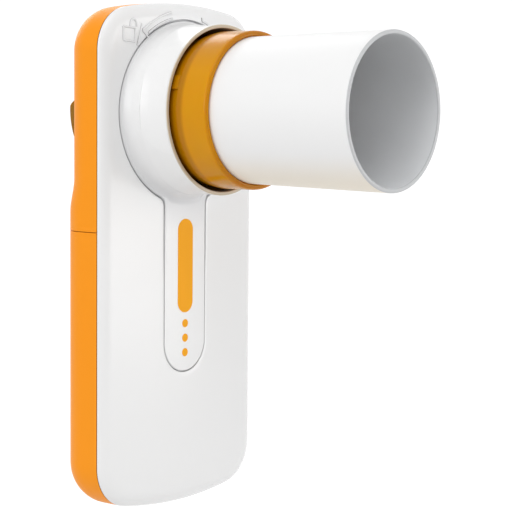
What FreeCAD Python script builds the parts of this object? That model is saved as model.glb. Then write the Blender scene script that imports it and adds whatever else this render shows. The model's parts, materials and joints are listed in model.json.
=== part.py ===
"""Hand-held electronic peak flow meter with a plug-in turbine and a round mouthpiece.

X runs across the body, the front looks towards -Y and +Z is up. The body stands upright, as in use.
While the pieces are shaped, Y = 0 is the parting plane between the white front shell and the orange
rear cover, and Z = 0 is the middle of the body's height. Each piece is then moved back by the depth
of the rear cover, so that the origin lies on the flat back of the battery door.
"""
import FreeCAD, Part
import math
import os

V = FreeCAD.Vector
X_AXIS = V(1, 0, 0)
Y_AXIS = V(0, 1, 0)
Z_AXIS = V(0, 0, 1)

# Body outline, seen from the front
BODY_WIDTH = 49.0
END_SAGITTA = 3.05
CORNER_RADIUS = 9.4

# Clearances, and how far a cutter or a joined piece reaches past the face it meets
FIT_GAP = 0.15
SEAT_GAP = 0.2
PANEL_GAP = 0.25
RUN_GAP = 0.3
PIN_GAP = 0.05
PAST = 1.0
NEAR = 0.01
SAMPLE_PARTS = (0.2, 0.5, 0.8)

# Airway: the turbine and the mouthpiece share one axis, along Y. The turbine's radii are steps from
# the tube, which is a little wider than the standard mouthpiece
MOUTHPIECE_RADIUS = 15.4
MOUTHPIECE_WALL = 0.9
MOUTHPIECE_EXPOSED = 35.0
MOUTHPIECE_EDGE = 0.3
SOCKET_DEPTH = 9.5
SOCKET_MOUTH = 0.3
TUBE_STEP = 0.4
RING_STEP = 0.85
TAIL_STEP = 0.8
TUBE_WALL = 1.8
RING_FRONT_Y = -23.0
RING_LENGTH = 8.25
RING_EDGE_ROUND = 0.7
TUBE_END_Y = 9.5
TAIL_END_Y = 14.6
LOBE_END_Y = 17.6
LOBE_NOTCH_WIDTH = 13.0
LOBE_TIP_ROUND = 1.6
TUBE_RADIUS = MOUTHPIECE_RADIUS + TUBE_STEP
RING_RADIUS = TUBE_RADIUS + RING_STEP
TAIL_RADIUS = TUBE_RADIUS - TAIL_STEP
BORE_RADIUS = TUBE_RADIUS - TUBE_WALL
OUTLET_RADIUS = TAIL_RADIUS + RUN_GAP
SOCKET_RADIUS = MOUTHPIECE_RADIUS + PIN_GAP
SOCKET_FLOOR_Y = RING_FRONT_Y + SOCKET_DEPTH
RING_REAR_Y = RING_FRONT_Y + RING_LENGTH

# Sensor collar round the turbine
COLLAR_WALL = 2.1
COLLAR_FRONT_Y = -0.2
COLLAR_STEP_Y = 7.2
COLLAR_TAIL_WALL = 0.8
COLLAR_TAIL_GAP = 0.6
NECK_BORE_RADIUS = TUBE_RADIUS + RUN_GAP
COLLAR_RADIUS = NECK_BORE_RADIUS + COLLAR_WALL

# Two slim cells side by side
CELL_RADIUS = 5.25
CELL_LENGTH = 44.5
CELL_X = 14.2
CELL_Y = 5.4
CELL_NUB_RADIUS = 1.9
CELL_NUB_LENGTH = 0.8
CELL_STEP_DEPTH = 0.3
CELL_STEP_WIDTH = 0.4
SPRING_LENGTH = 3.0

# Heights: the body is as tall as the airway above the door line and the cells below it need
COLLAR_TO_TOP = 4.7
COLLAR_TO_DOOR = 7.4
DOOR_TO_CELLS = 4.4
CELLS_TO_BOTTOM = 8.6
UPPER_HEIGHT = COLLAR_TO_TOP + 2 * COLLAR_RADIUS + COLLAR_TO_DOOR
LOWER_HEIGHT = DOOR_TO_CELLS + CELL_LENGTH + SPRING_LENGTH + CELLS_TO_BOTTOM
HALF_HEIGHT = (UPPER_HEIGHT + LOWER_HEIGHT) / 2
AIRWAY_Z = HALF_HEIGHT - COLLAR_TO_TOP - COLLAR_RADIUS
DOOR_SPLIT_Z = HALF_HEIGHT - UPPER_HEIGHT
CELL_TOP_Z = DOOR_SPLIT_Z - DOOR_TO_CELLS
CELL_BOTTOM_Z = CELL_TOP_Z - CELL_LENGTH - SPRING_LENGTH
AIRWAY_BASE = V(0, 0, AIRWAY_Z)

# Front shell, measured from the parting plane
FRONT_EDGE_DEPTH = 1.5
FACE_CROWN = 1.3
FRONT_EDGE_ROUND = 2.0
FRONT_WALL = 1.6
FRONT_RIM = 2.9
TONGUE_HEIGHT = 1.6
TONGUE_WALL = 1.1
BEAD_RADIUS = 0.4
BEAD_TOP_Z = HALF_HEIGHT - 14.5
BEAD_BOTTOM_Z = 16.5 - HALF_HEIGHT

# Rear cover and battery door, measured from the parting plane
REAR_WALL = 1.6
CELL_BACK_GAP = 0.35
UPPER_STEP = 1.2
BACK_EDGE_ROUND = 8.0
RAMP_START = 3.9
RAMP_RUN = 7.2
BULKHEAD_WALL = 1.4
LIP_DROP = 1.4
LIP_WALL = 0.9
TAB_HALF_WIDTH = 7.0
TAB_DROP = 10.0
TAB_THICKNESS = 1.5
GRIP_DROP = 12.0
GRIP_PITCH = 2.6
GRIP_COUNT = 4
GRIP_HALF_WIDTH = 8.0
GRIP_RADIUS = 1.1
GRIP_DEPTH = 0.45
REAR_DEPTH = CELL_Y + CELL_RADIUS + CELL_BACK_GAP + REAR_WALL
UPPER_REAR_DEPTH = REAR_DEPTH - UPPER_STEP
RAMP_BOTTOM_Z = DOOR_SPLIT_Z + RAMP_START
RAMP_TOP_Z = RAMP_BOTTOM_Z + RAMP_RUN

# Bayonet: lugs on the turbine that turn behind a groove in the sensor collar
BAYONET_COUNT = 3
BAYONET_TURN = 30.0
LUG_ANGLE = 22.0
LUG_FRONT_Y = 1.0
LUG_LENGTH = 1.8
LUG_REACH = 1.1
LUG_ROOT = 0.2
LUG_SLOT_SLACK = 3.0
LUG_START_ANGLE = 90.0
INDEX_RIB_ANGLE = 10.0
INDEX_RIB_DIRECTION = 160.0
INDEX_RIB_LENGTH = 1.7
INDEX_RIB_REACH = 1.0
NOTCH_DIRECTION = 148.0
GROOVE_RADIUS = TUBE_RADIUS + LUG_REACH + RUN_GAP

# Neck bezel: a keyhole-shaped insert that carries the neck round the turbine
NECK_WALL = 2.2
NECK_WAIST = 0.3
NECK_LIP_STEP = 0.15
NECK_LIP_LENGTH = 10.9
NECK_LIP_WALL = 0.8
NECK_LIP_ROUND = 0.3
NECK_COVE = 2.2
FUNNEL_START = 1.0
FUNNEL_LENGTH = 2.6
BEZEL_STEP = 0.85
BEZEL_PLATE = 0.9
BEZEL_SLEEVE_WALL = 0.85
STRIP_HALF_WIDTH = 6.45
STRIP_DROP = 37.85
KEYHOLE_FILLET = 2.5
SCALLOP_DEPTH = 0.6
SCALLOP_FROM_LIP = 2.8
SCALLOP_HALF_LENGTH = 4.3
SCALLOP_RUN_OUT = 0.5
SCALLOP_RISE = 3.0
SCALLOP_AXIS_SHIFT = 5.0
NECK_RADIUS = NECK_BORE_RADIUS + NECK_WALL
NECK_WAIST_RADIUS = NECK_RADIUS - NECK_WAIST
NECK_LIP_RADIUS = NECK_RADIUS - NECK_LIP_STEP
BEZEL_RADIUS = NECK_RADIUS + BEZEL_STEP
STRIP_BOTTOM_Z = AIRWAY_Z - BEZEL_RADIUS - STRIP_DROP
SLEEVE_RADIUS = NECK_BORE_RADIUS + BEZEL_SLEEVE_WALL
SLEEVE_END_Y = COLLAR_FRONT_Y - FIT_GAP

# Accent label on the strip
LABEL_WIDTH = 4.8
LABEL_DROP = 4.45
LABEL_LENGTH = 20.5
LABEL_THICKNESS = 0.1
DOT_RADIUS = 0.9
DOT_PITCH = 3.2
DOT_START = 2.4
DOT_COUNT = 3
LABEL_TOP_Z = AIRWAY_Z - BEZEL_RADIUS - LABEL_DROP
LABEL_BOTTOM_Z = LABEL_TOP_Z - LABEL_LENGTH

# Light beams and the rotor inside the turbine
BEAM_Y = 5.2
WINDOW_RADIUS = 1.3
BEAM_ANGLES = (45.0, 135.0)
HUB_RADIUS = 3.4
SWIRLER_LENGTH = 6.4
SWIRLER_GAP = 0.8
SWIRLER_RING_WALL = 0.8
SWIRL_VANES = 6
SWIRL_VANE_THICKNESS = 0.8
SWIRL_PITCH = 40.0
SWIRL_ROOT = 1.6
SWIRL_MARGIN = 0.4
REAR_SWIRLER_INSET = 0.5
VANE_LENGTH = 8.4
VANE_CLEARANCE = 1.4
VANE_THICKNESS = 0.4
VANE_CORNER = 1.4
VANE_HUB_RADIUS = 1.3
VANE_HUB_EXTRA = 0.3
AXLE_RADIUS = 0.6
AXLE_OVERLAP = 3.4
AXLE_TIP = 0.3
BEARING_RADIUS = 1.6
BEARING_LENGTH = 2.0
BEARING_INSET = 0.6
VANE_RADIUS = BORE_RADIUS - VANE_CLEARANCE
ROTOR_FRONT_Y = BEAM_Y - VANE_LENGTH / 2
ROTOR_REAR_Y = BEAM_Y + VANE_LENGTH / 2
FRONT_SWIRLER_END_Y = ROTOR_FRONT_Y - SWIRLER_GAP
REAR_SWIRLER_START_Y = ROTOR_REAR_Y + SWIRLER_GAP

# Circuit board and what is on it; a chip is given as width, length, height, x and drop below the door line
BOARD_Y = 0.4
BOARD_THICKNESS = 1.0
BOARD_INSET = 3.2
BOARD_DROP = 1.0
BOARD_TONGUE_HALF_WIDTH = 7.8
BOARD_TONGUE_GAP = 10.5
POST_RADIUS = 1.7
POST_PIN_RADIUS = 0.8
POST_PIN_HEIGHT = 1.0
POST_STEP = 0.8
POST_RISE = 10.4
LOWER_POST_X = 13.0
LOWER_POST_RISE = 3.6
IR_BODY_WIDTH = 4.4
IR_BODY_DEPTH = 1.8
IR_BODY_MARGIN = 1.8
IR_LENS_RADIUS = 1.1
CHIPS = (
    (5.0, 5.0, 0.9, 0.0, 15.5),
    (4.0, 3.0, 0.8, 4.5, 21.0),
    (3.0, 3.0, 1.0, -5.0, 21.5),
    (3.2, 1.6, 0.7, -4.6, 12.2),
)
RADIO_WIDTH = 11.0
RADIO_LENGTH = 16.0
RADIO_DROP = 26.0
RADIO_BOARD = 0.5
RADIO_CAN = 1.0
RADIO_CAN_MARGIN = 0.5
RADIO_AERIAL_LENGTH = 4.0
BOARD_BACK_Y = BOARD_Y + BOARD_THICKNESS
BOARD_BOTTOM_Z = DOOR_SPLIT_Z - BOARD_DROP
BOARD_TONGUE_BOTTOM_Z = BOARD_TONGUE_GAP - HALF_HEIGHT
POST_PLACES = ((COLLAR_RADIUS + POST_STEP, AIRWAY_Z + POST_RISE),
               (LOWER_POST_X, DOOR_SPLIT_Z + LOWER_POST_RISE))

# Power button, switch and status light on the right-hand side
BUTTON_RISE = 7.0
BUTTON_Y = 3.5
BUTTON_LENGTH = 8.0
BUTTON_WIDTH = 2.8
BUTTON_PROUD = 0.7
BUTTON_TRAVEL = 0.6
BUTTON_FLANGE = 0.6
BUTTON_FLANGE_THICKNESS = 0.8
BUTTON_EDGE = 0.35
SWITCH_SIZE = 3.4
SWITCH_PLUNGER_RADIUS = 0.8
SWITCH_PLUNGER_LENGTH = 0.5
SWITCH_PLUNGER_ROOT = 0.5
LIGHT_RISE = 14.5
LIGHT_RADIUS = 1.1
LIGHT_FLANGE = 0.5
LED_SIZE = 1.6
BUTTON_Z = DOOR_SPLIT_Z + BUTTON_RISE
LIGHT_Z = DOOR_SPLIT_Z + LIGHT_RISE

# Tray and contacts of the cells
LEAF_WIDTH = 4.4
LEAF_THICKNESS = 0.3
LEAF_RUN = 5.6
PLATE_THICKNESS = 0.4
PLATE_SIZE = 7.6
TRAY_INSET = 3.15
TRAY_HEIGHT = 7.0
TRAY_END_WALL = 1.6
TRAY_END_HEIGHT = 9.0
TRAY_END_HALF_WIDTH = 18.6
TRAY_BAY_Y = 3.0
TRAY_BRIDGE = 1.7

# Screws that hold the case
SCREW_HEAD_RADIUS = 1.9
SCREW_HEAD_HEIGHT = 1.2
SCREW_RADIUS = 0.9
SCREW_LENGTH = 6.0
SCREW_SLOT_WIDTH = 0.5
SCREW_SLOT_DEPTH = 0.5
BOSS_RADIUS = 2.2
TAB_SCREW_X = 4.2
TAB_SCREW_DROP = 7.0
BOTTOM_SCREW_RISE = 5.9

# Values that follow from the sizes above
HALF_WIDTH = BODY_WIDTH / 2
FACE_Y = -(FRONT_EDGE_DEPTH + FACE_CROWN)
NECK_LIP_Y = FACE_Y - NECK_LIP_LENGTH
CROWN_RADIUS = (HALF_WIDTH ** 2 + FACE_CROWN ** 2) / (2 * FACE_CROWN)
COLLAR_END_Y = UPPER_REAR_DEPTH - REAR_WALL - COLLAR_TAIL_GAP
TONGUE_INSET = REAR_WALL + FIT_GAP
BRIDGE_TOP_Y = TRAY_BAY_Y + TRAY_BRIDGE
SIDE_INNER_X = HALF_WIDTH - REAR_WALL
FAR = 4 * HALF_HEIGHT
DIAGONAL = math.sqrt(0.5)


def box(x0, x1, y0, y1, z0, z1):
    """Box between two corners."""
    return Part.makeBox(x1 - x0, y1 - y0, z1 - z0, V(x0, y0, z0))


def mirror_pair(shape):
    """The shape and its mirror image across the middle plane X = 0."""
    return [shape, shape.mirror(V(0, 0, 0), X_AXIS)]


def outline_wire(inset, y):
    """Outline of the body seen from the front: straight sides, arched ends and round corners."""
    arch_radius = (HALF_WIDTH ** 2 + END_SAGITTA ** 2) / (2 * END_SAGITTA)
    arch_z = HALF_HEIGHT - arch_radius
    corner_x = HALF_WIDTH - CORNER_RADIUS
    reach = arch_radius - CORNER_RADIUS
    corner_z = arch_z + math.sqrt(reach ** 2 - corner_x ** 2)
    half_turn = math.atan2(corner_z - arch_z, corner_x) / 2
    radius = CORNER_RADIUS - inset
    scale = (arch_radius - inset) / reach
    side_x = HALF_WIDTH - inset
    middle = (corner_x + radius * math.cos(half_turn), corner_z + radius * math.sin(half_turn))
    meet = (corner_x * scale, arch_z + (corner_z - arch_z) * scale)
    edges = []
    for up in (1, -1):
        for right in (1, -1):
            start = V(right * side_x, y, up * corner_z)
            half_way = V(right * middle[0], y, up * middle[1])
            end = V(right * meet[0], y, up * meet[1])
            edges.append(Part.Arc(start, half_way, end).toShape())
        left_end = V(-meet[0], y, up * meet[1])
        top = V(0, y, up * (HALF_HEIGHT - inset))
        right_end = V(meet[0], y, up * meet[1])
        edges.append(Part.Arc(left_end, top, right_end).toShape())
    for right in (1, -1):
        low = V(right * side_x, y, -corner_z)
        high = V(right * side_x, y, corner_z)
        edges.append(Part.LineSegment(low, high).toShape())
    return Part.Wire(Part.__sortEdges__(edges))


def prism(inset, y0, y1):
    """The body's outline, drawn in by the inset, from y0 back to y1."""
    return Part.Face(outline_wire(inset, y0)).extrude(V(0, y1 - y0, 0))


def behind_face(depth):
    """Everything that lies deeper than the given depth behind the crowned front face."""
    centre = V(0, FACE_Y + CROWN_RADIUS, -FAR / 2)
    return Part.makeCylinder(CROWN_RADIUS - depth, FAR, centre, Z_AXIS)


def perimeter_edges(shape, inset, y_min, y_max):
    """Edges that follow the body's outline and lie between two depths."""
    picked = []
    for edge in shape.Edges:
        spots = [edge.valueAt(edge.FirstParameter + part * (edge.LastParameter - edge.FirstParameter))
                 for part in SAMPLE_PARTS]
        if any(spot.y < y_min or spot.y > y_max for spot in spots):
            continue
        if all(outline_wire(inset, spot.y).distToShape(Part.Vertex(spot))[0] < NEAR for spot in spots):
            picked.append(edge)
    return picked


def front_form():
    """Outer form of the front shell: crowned face, soft edge, flat back on the parting plane."""
    slack = FRONT_EDGE_ROUND
    form = prism(0, FACE_Y - PAST, slack).common(behind_face(0))
    edges = perimeter_edges(form, 0, FACE_Y - PAST, 0)
    form = form.makeFillet(FRONT_EDGE_ROUND, edges)
    return form.common(prism(-PAST, FACE_Y - PAST, 0))


def rear_form(inset, y0=0.0):
    """Outer form of the rear cover and door together, drawn in all round by the inset."""
    upper = UPPER_REAR_DEPTH - inset
    lower = REAR_DEPTH - inset
    rise = lower - upper
    run = RAMP_TOP_Z - RAMP_BOTTOM_Z
    radius = (run ** 2 + rise ** 2) / (4 * rise)
    turn = math.asin(run / 2 / radius)
    middle_dy = radius * (1 - math.cos(turn / 2))
    middle_dz = radius * math.sin(turn / 2)
    x0 = -BODY_WIDTH
    low_start = V(x0, lower, -FAR / 2)
    low_end = V(x0, lower, RAMP_BOTTOM_Z)
    shoulder = V(x0, lower - middle_dy, RAMP_BOTTOM_Z + middle_dz)
    centre = V(x0, (upper + lower) / 2, (RAMP_TOP_Z + RAMP_BOTTOM_Z) / 2)
    foot = V(x0, upper + middle_dy, RAMP_TOP_Z - middle_dz)
    high_start = V(x0, upper, RAMP_TOP_Z)
    high_end = V(x0, upper, FAR / 2)
    front_high = V(x0, y0, FAR / 2)
    front_low = V(x0, y0, -FAR / 2)
    edges = [Part.LineSegment(low_start, low_end).toShape(),
             Part.Arc(low_end, shoulder, centre).toShape(),
             Part.Arc(centre, foot, high_start).toShape(),
             Part.LineSegment(high_start, high_end).toShape(),
             Part.LineSegment(high_end, front_high).toShape(),
             Part.LineSegment(front_high, front_low).toShape(),
             Part.LineSegment(front_low, low_start).toShape()]
    side_profile = Part.Face(Part.Wire(edges)).extrude(V(2 * BODY_WIDTH, 0, 0))
    form = prism(inset, y0, REAR_DEPTH + PAST).common(side_profile)
    back_edges = perimeter_edges(form, inset, upper - NEAR, lower + NEAR)
    return form.makeFillet(BACK_EDGE_ROUND - inset, back_edges)


def closed_wire(points, arcs):
    """Closed outline through the points; arcs gives, by side number, a point half way along its arc."""
    edges = []
    for number, start in enumerate(points):
        end = points[(number + 1) % len(points)]
        if number in arcs:
            edges.append(Part.Arc(start, arcs[number], end).toShape())
        else:
            edges.append(Part.LineSegment(start, end).toShape())
    return Part.Wire(edges)


def turned(points, arcs=None, axis_x=0.0, axis_z=AIRWAY_Z):
    """Solid of revolution about an axis along Y, from a closed outline of (radius, y) points."""

    def place(point):
        return V(axis_x + point[0], point[1], axis_z)

    middles = {number: place(point) for number, point in (arcs or {}).items()}
    wire = closed_wire([place(point) for point in points], middles)
    return Part.Face(wire).revolve(V(axis_x, 0, axis_z), Y_AXIS, 360)


def ring(inner, outer, y0, y1):
    """Plain ring about the airway axis."""
    return turned([(inner, y0), (outer, y0), (outer, y1), (inner, y1)])


def rod(radius, y0, y1, x=0.0, z=0.0):
    """Round rod along Y."""
    return Part.makeCylinder(radius, y1 - y0, V(x, y0, z), Y_AXIS)


def turn_about_airway(shape, angle):
    """Copy turned about the airway axis; the angle runs from +X towards +Z."""
    copy = shape.copy()
    copy.rotate(AIRWAY_BASE, V(0, -1, 0), angle)
    return copy


def sector(inner, outer, y0, y1, direction, width):
    """Part of a ring about the airway axis, centred on a direction."""
    corners = [(inner, y0), (outer, y0), (outer, y1), (inner, y1)]
    points = [V(r, y, AIRWAY_Z) for r, y in corners]
    face = Part.Face(Part.makePolygon(points + points[:1]))
    return turn_about_airway(face.revolve(AIRWAY_BASE, V(0, -1, 0), width), direction - width / 2)


def bayonet_directions(offset=0.0):
    """Evenly spaced directions of the bayonet lugs."""
    step = 360.0 / BAYONET_COUNT
    return [LUG_START_ANGLE + offset + step * number for number in range(BAYONET_COUNT)]


def keyhole(gap, y0, y1):
    """Keyhole outline of the neck bezel: a disc and a strip with a round end, grown by the gap."""
    radius = BEZEL_RADIUS + gap
    half = STRIP_HALF_WIDTH + gap
    end_z = STRIP_BOTTOM_Z + STRIP_HALF_WIDTH
    shape = rod(radius, y0, y1, 0, AIRWAY_Z)
    shape = shape.fuse(box(-half, half, y0, y1, end_z, AIRWAY_Z))
    shape = shape.fuse(rod(half, y0, y1, 0, end_z)).removeSplitter()
    meet_z = AIRWAY_Z - math.sqrt(radius ** 2 - half ** 2)
    inner_corners = []
    for edge in shape.Edges:
        low = edge.Vertexes[0].Point
        high = edge.Vertexes[-1].Point
        along = abs(abs(high.y - low.y) - (y1 - y0)) < NEAR and abs(low.x - high.x) < NEAR
        if along and abs(abs(low.x) - half) < NEAR and abs(low.z - meet_z) < NEAR:
            inner_corners.append(edge)
    return shape.makeFillet(KEYHOLE_FILLET - gap, inner_corners)


def side_bead(radius):
    """Straight round bead along both sides of the tongue, on which the rear pieces snap."""
    bead = Part.makeCylinder(radius, BEAD_TOP_Z - BEAD_BOTTOM_Z,
                             V(HALF_WIDTH - TONGUE_INSET, TONGUE_HEIGHT / 2 + FIT_GAP, BEAD_BOTTOM_Z), Z_AXIS)
    return mirror_pair(bead)


def screw_places():
    """Place of each case screw, as (x, z, depth of the face under its head)."""
    tab_face = BRIDGE_TOP_Y + TAB_THICKNESS
    tab_z = DOOR_SPLIT_Z - TAB_SCREW_DROP
    return [(TAB_SCREW_X, tab_z, tab_face), (-TAB_SCREW_X, tab_z, tab_face),
            (0, BOTTOM_SCREW_RISE - HALF_HEIGHT, BRIDGE_TOP_Y)]


def front_shell():
    """White front shell: crowned face, keyhole pocket, locating ring, posts, bosses and tongue."""
    shell = front_form()
    cavity = prism(FRONT_RIM, FACE_Y, PAST).common(behind_face(FRONT_WALL))
    shell = shell.cut(cavity)
    tongue = prism(TONGUE_INSET, -FIT_GAP, TONGUE_HEIGHT)
    tongue = tongue.cut(prism(TONGUE_INSET + TONGUE_WALL, -PAST, TONGUE_HEIGHT + PAST))
    shell = shell.fuse(tongue)
    shell = shell.fuse(side_bead(BEAD_RADIUS))
    shell = shell.cut(keyhole(PANEL_GAP, FACE_Y - PAST, 0).cut(behind_face(BEZEL_PLATE)))
    additions = [ring(SLEEVE_RADIUS + FIT_GAP, COLLAR_RADIUS, FACE_Y + BEZEL_PLATE, COLLAR_FRONT_Y)]
    floor_y = FACE_Y + FRONT_WALL / 2
    for x, z in POST_PLACES:
        post = rod(POST_RADIUS, floor_y, BOARD_Y, x, z)
        post = post.fuse(rod(POST_PIN_RADIUS, floor_y, BOARD_BACK_Y + POST_PIN_HEIGHT, x, z))
        additions += mirror_pair(post)
    for x, z, _ in screw_places():
        additions.append(rod(BOSS_RADIUS, FACE_Y + BEZEL_PLATE, TRAY_BAY_Y, x, z))
    shell = shell.fuse([piece.common(behind_face(BEZEL_PLATE)) for piece in additions])
    shell = shell.cut(rod(SLEEVE_RADIUS + FIT_GAP, FACE_Y - PAST, PAST, 0, AIRWAY_Z))
    for x, z, head_y in screw_places():
        bottom_y = head_y - SCREW_LENGTH - SEAT_GAP
        shell = shell.cut(rod(SCREW_RADIUS + PIN_GAP, bottom_y, TRAY_BAY_Y + PAST, x, z))
    return shell.removeSplitter()


def scallop_tool(side):
    """Outer part of a waisted ring; it shaves a shallow, egg-shaped finger hollow into the neck."""
    waist = NECK_WAIST_RADIUS - SCALLOP_DEPTH + SCALLOP_AXIS_SHIFT
    start_y = NECK_LIP_Y - PAST
    deepest_y = NECK_LIP_Y + SCALLOP_FROM_LIP
    end_y = deepest_y + SCALLOP_HALF_LENGTH + SCALLOP_RUN_OUT

    def kept_radius(y):
        return waist + SCALLOP_DEPTH * ((y - deepest_y) / SCALLOP_HALF_LENGTH) ** 2

    middle_y = (start_y + end_y) / 2
    outer = waist + 2 * NECK_COVE + SCALLOP_DEPTH
    points = [(kept_radius(start_y), start_y), (kept_radius(end_y), end_y), (outer, end_y), (outer, start_y)]
    arcs = {0: (kept_radius(middle_y), middle_y)}
    return turned(points, arcs, -side * SCALLOP_AXIS_SHIFT, AIRWAY_Z + SCALLOP_RISE)


def neck_bezel():
    """White keyhole insert: a flared neck with a thin lip, a cove at its foot and a flat strip."""
    plate = keyhole(0, FACE_Y - PAST, 0).common(behind_face(0)).cut(behind_face(BEZEL_PLATE))
    cove_y = FACE_Y - NECK_COVE
    round_end = NECK_LIP_Y + NECK_LIP_ROUND
    round_radius = NECK_LIP_RADIUS - NECK_LIP_ROUND
    points = [(NECK_RADIUS + NECK_COVE, FACE_Y), (NECK_RADIUS, cove_y),
              (NECK_LIP_RADIUS, round_end), (round_radius, NECK_LIP_Y),
              (NECK_LIP_RADIUS - NECK_LIP_WALL, NECK_LIP_Y),
              (NECK_LIP_RADIUS - NECK_LIP_WALL, NECK_LIP_Y + FUNNEL_START),
              (NECK_BORE_RADIUS, NECK_LIP_Y + FUNNEL_LENGTH), (NECK_BORE_RADIUS, SLEEVE_END_Y),
              (SLEEVE_RADIUS, SLEEVE_END_Y), (SLEEVE_RADIUS, FACE_Y + BEZEL_PLATE / 2),
              (NECK_RADIUS + NECK_COVE, FACE_Y + BEZEL_PLATE / 2)]
    cove_middle = (NECK_RADIUS + NECK_COVE - NECK_COVE * DIAGONAL, FACE_Y - NECK_COVE + NECK_COVE * DIAGONAL)
    waist = (NECK_WAIST_RADIUS, (cove_y + round_end) / 2)
    lip_middle = (round_radius + NECK_LIP_ROUND * DIAGONAL, round_end - NECK_LIP_ROUND * DIAGONAL)
    neck = turned(points, {0: cove_middle, 1: waist, 2: lip_middle})
    neck = neck.common(keyhole(0, NECK_LIP_Y - PAST, PAST))
    neck = neck.cut([scallop_tool(1), scallop_tool(-1)])
    bezel = neck.fuse(plate.cut(rod(NECK_BORE_RADIUS, FACE_Y - PAST, PAST, 0, AIRWAY_Z)))
    return bezel.removeSplitter()


def accent_label():
    """Orange pill and a row of dots on the strip, as thin film."""
    half = LABEL_WIDTH / 2
    y0 = FACE_Y - PAST
    pill = box(-half, half, y0, 0, LABEL_BOTTOM_Z + half, LABEL_TOP_Z - half)
    pill = pill.fuse([rod(half, y0, 0, 0, LABEL_TOP_Z - half), rod(half, y0, 0, 0, LABEL_BOTTOM_Z + half)])
    shapes = [pill.removeSplitter()]
    for number in range(DOT_COUNT):
        shapes.append(rod(DOT_RADIUS, y0, 0, 0, LABEL_BOTTOM_Z - DOT_START - DOT_PITCH * number))
    film = behind_face(-LABEL_THICKNESS).cut(behind_face(0))
    return Part.makeCompound([shape.common(film) for shape in shapes])


def rear_shell():
    """Upper orange cover: outlet for the turbine, bulkhead, door lip, screw tab and side openings."""
    above = box(-FAR, FAR, -PAST, FAR, DOOR_SPLIT_Z, FAR)
    shell = rear_form(0).cut(rear_form(REAR_WALL, -PAST)).common(above)
    bulkhead = rear_form(REAR_WALL / 2).common(
        box(-FAR, FAR, TONGUE_HEIGHT + SEAT_GAP, FAR, DOOR_SPLIT_Z, DOOR_SPLIT_Z + BULKHEAD_WALL))
    lip = rear_form(TONGUE_INSET).cut(rear_form(TONGUE_INSET + LIP_WALL, -PAST))
    lip = lip.common(box(-FAR, FAR, TONGUE_HEIGHT + SEAT_GAP, FAR,
                         DOOR_SPLIT_Z - LIP_DROP, DOOR_SPLIT_Z + BULKHEAD_WALL / 2))
    tab = box(-TAB_HALF_WIDTH, TAB_HALF_WIDTH, BRIDGE_TOP_Y, BRIDGE_TOP_Y + TAB_THICKNESS,
              DOOR_SPLIT_Z - TAB_DROP, DOOR_SPLIT_Z + BULKHEAD_WALL / 2)
    shell = shell.fuse([bulkhead, lip, tab])
    for x, z, _ in screw_places()[:2]:
        shell = shell.cut(rod(SCREW_RADIUS + FIT_GAP, 0, REAR_DEPTH, x, z))
    outlet = rod(OUTLET_RADIUS, 0, REAR_DEPTH, 0, AIRWAY_Z)
    dish_depth = REAR_WALL / 2
    dish = turned([(0, UPPER_REAR_DEPTH - dish_depth), (OUTLET_RADIUS, UPPER_REAR_DEPTH - dish_depth),
                   (OUTLET_RADIUS + dish_depth, UPPER_REAR_DEPTH),
                   (OUTLET_RADIUS + dish_depth, REAR_DEPTH), (0, REAR_DEPTH)])
    groove = side_bead(BEAD_RADIUS + FIT_GAP)
    cable_notch = box(-BOARD_TONGUE_HALF_WIDTH - FIT_GAP, BOARD_TONGUE_HALF_WIDTH + FIT_GAP,
                      0, TRAY_BAY_Y, DOOR_SPLIT_Z - LIP_DROP, DOOR_SPLIT_Z + BULKHEAD_WALL)
    shell = shell.cut([outlet, dish, cable_notch] + groove)
    shell = shell.cut([button_blank(FIT_GAP, HALF_WIDTH + PAST), light_hole()])
    return shell.removeSplitter()


def battery_door():
    """Lower orange cover that slides down off the body: a deep cup with grip grooves on its back."""
    below = box(-FAR, FAR, -PAST, FAR, -FAR, DOOR_SPLIT_Z - FIT_GAP)
    door = rear_form(0).cut(rear_form(REAR_WALL, -PAST)).common(below)
    for number in range(GRIP_COUNT):
        z = DOOR_SPLIT_Z - GRIP_DROP - GRIP_PITCH * number
        groove = Part.makeCylinder(GRIP_RADIUS, 2 * GRIP_HALF_WIDTH,
                                   V(-GRIP_HALF_WIDTH, REAR_DEPTH + GRIP_RADIUS - GRIP_DEPTH, z), X_AXIS)
        door = door.cut(groove)
    channel_top = DOOR_SPLIT_Z + PAST
    channel = Part.makeCylinder(BEAD_RADIUS + FIT_GAP, channel_top - BEAD_BOTTOM_Z + FIT_GAP,
                                V(HALF_WIDTH - TONGUE_INSET, TONGUE_HEIGHT / 2 + FIT_GAP,
                                  BEAD_BOTTOM_Z - FIT_GAP), Z_AXIS)
    return door.cut(mirror_pair(channel)).removeSplitter()


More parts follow.
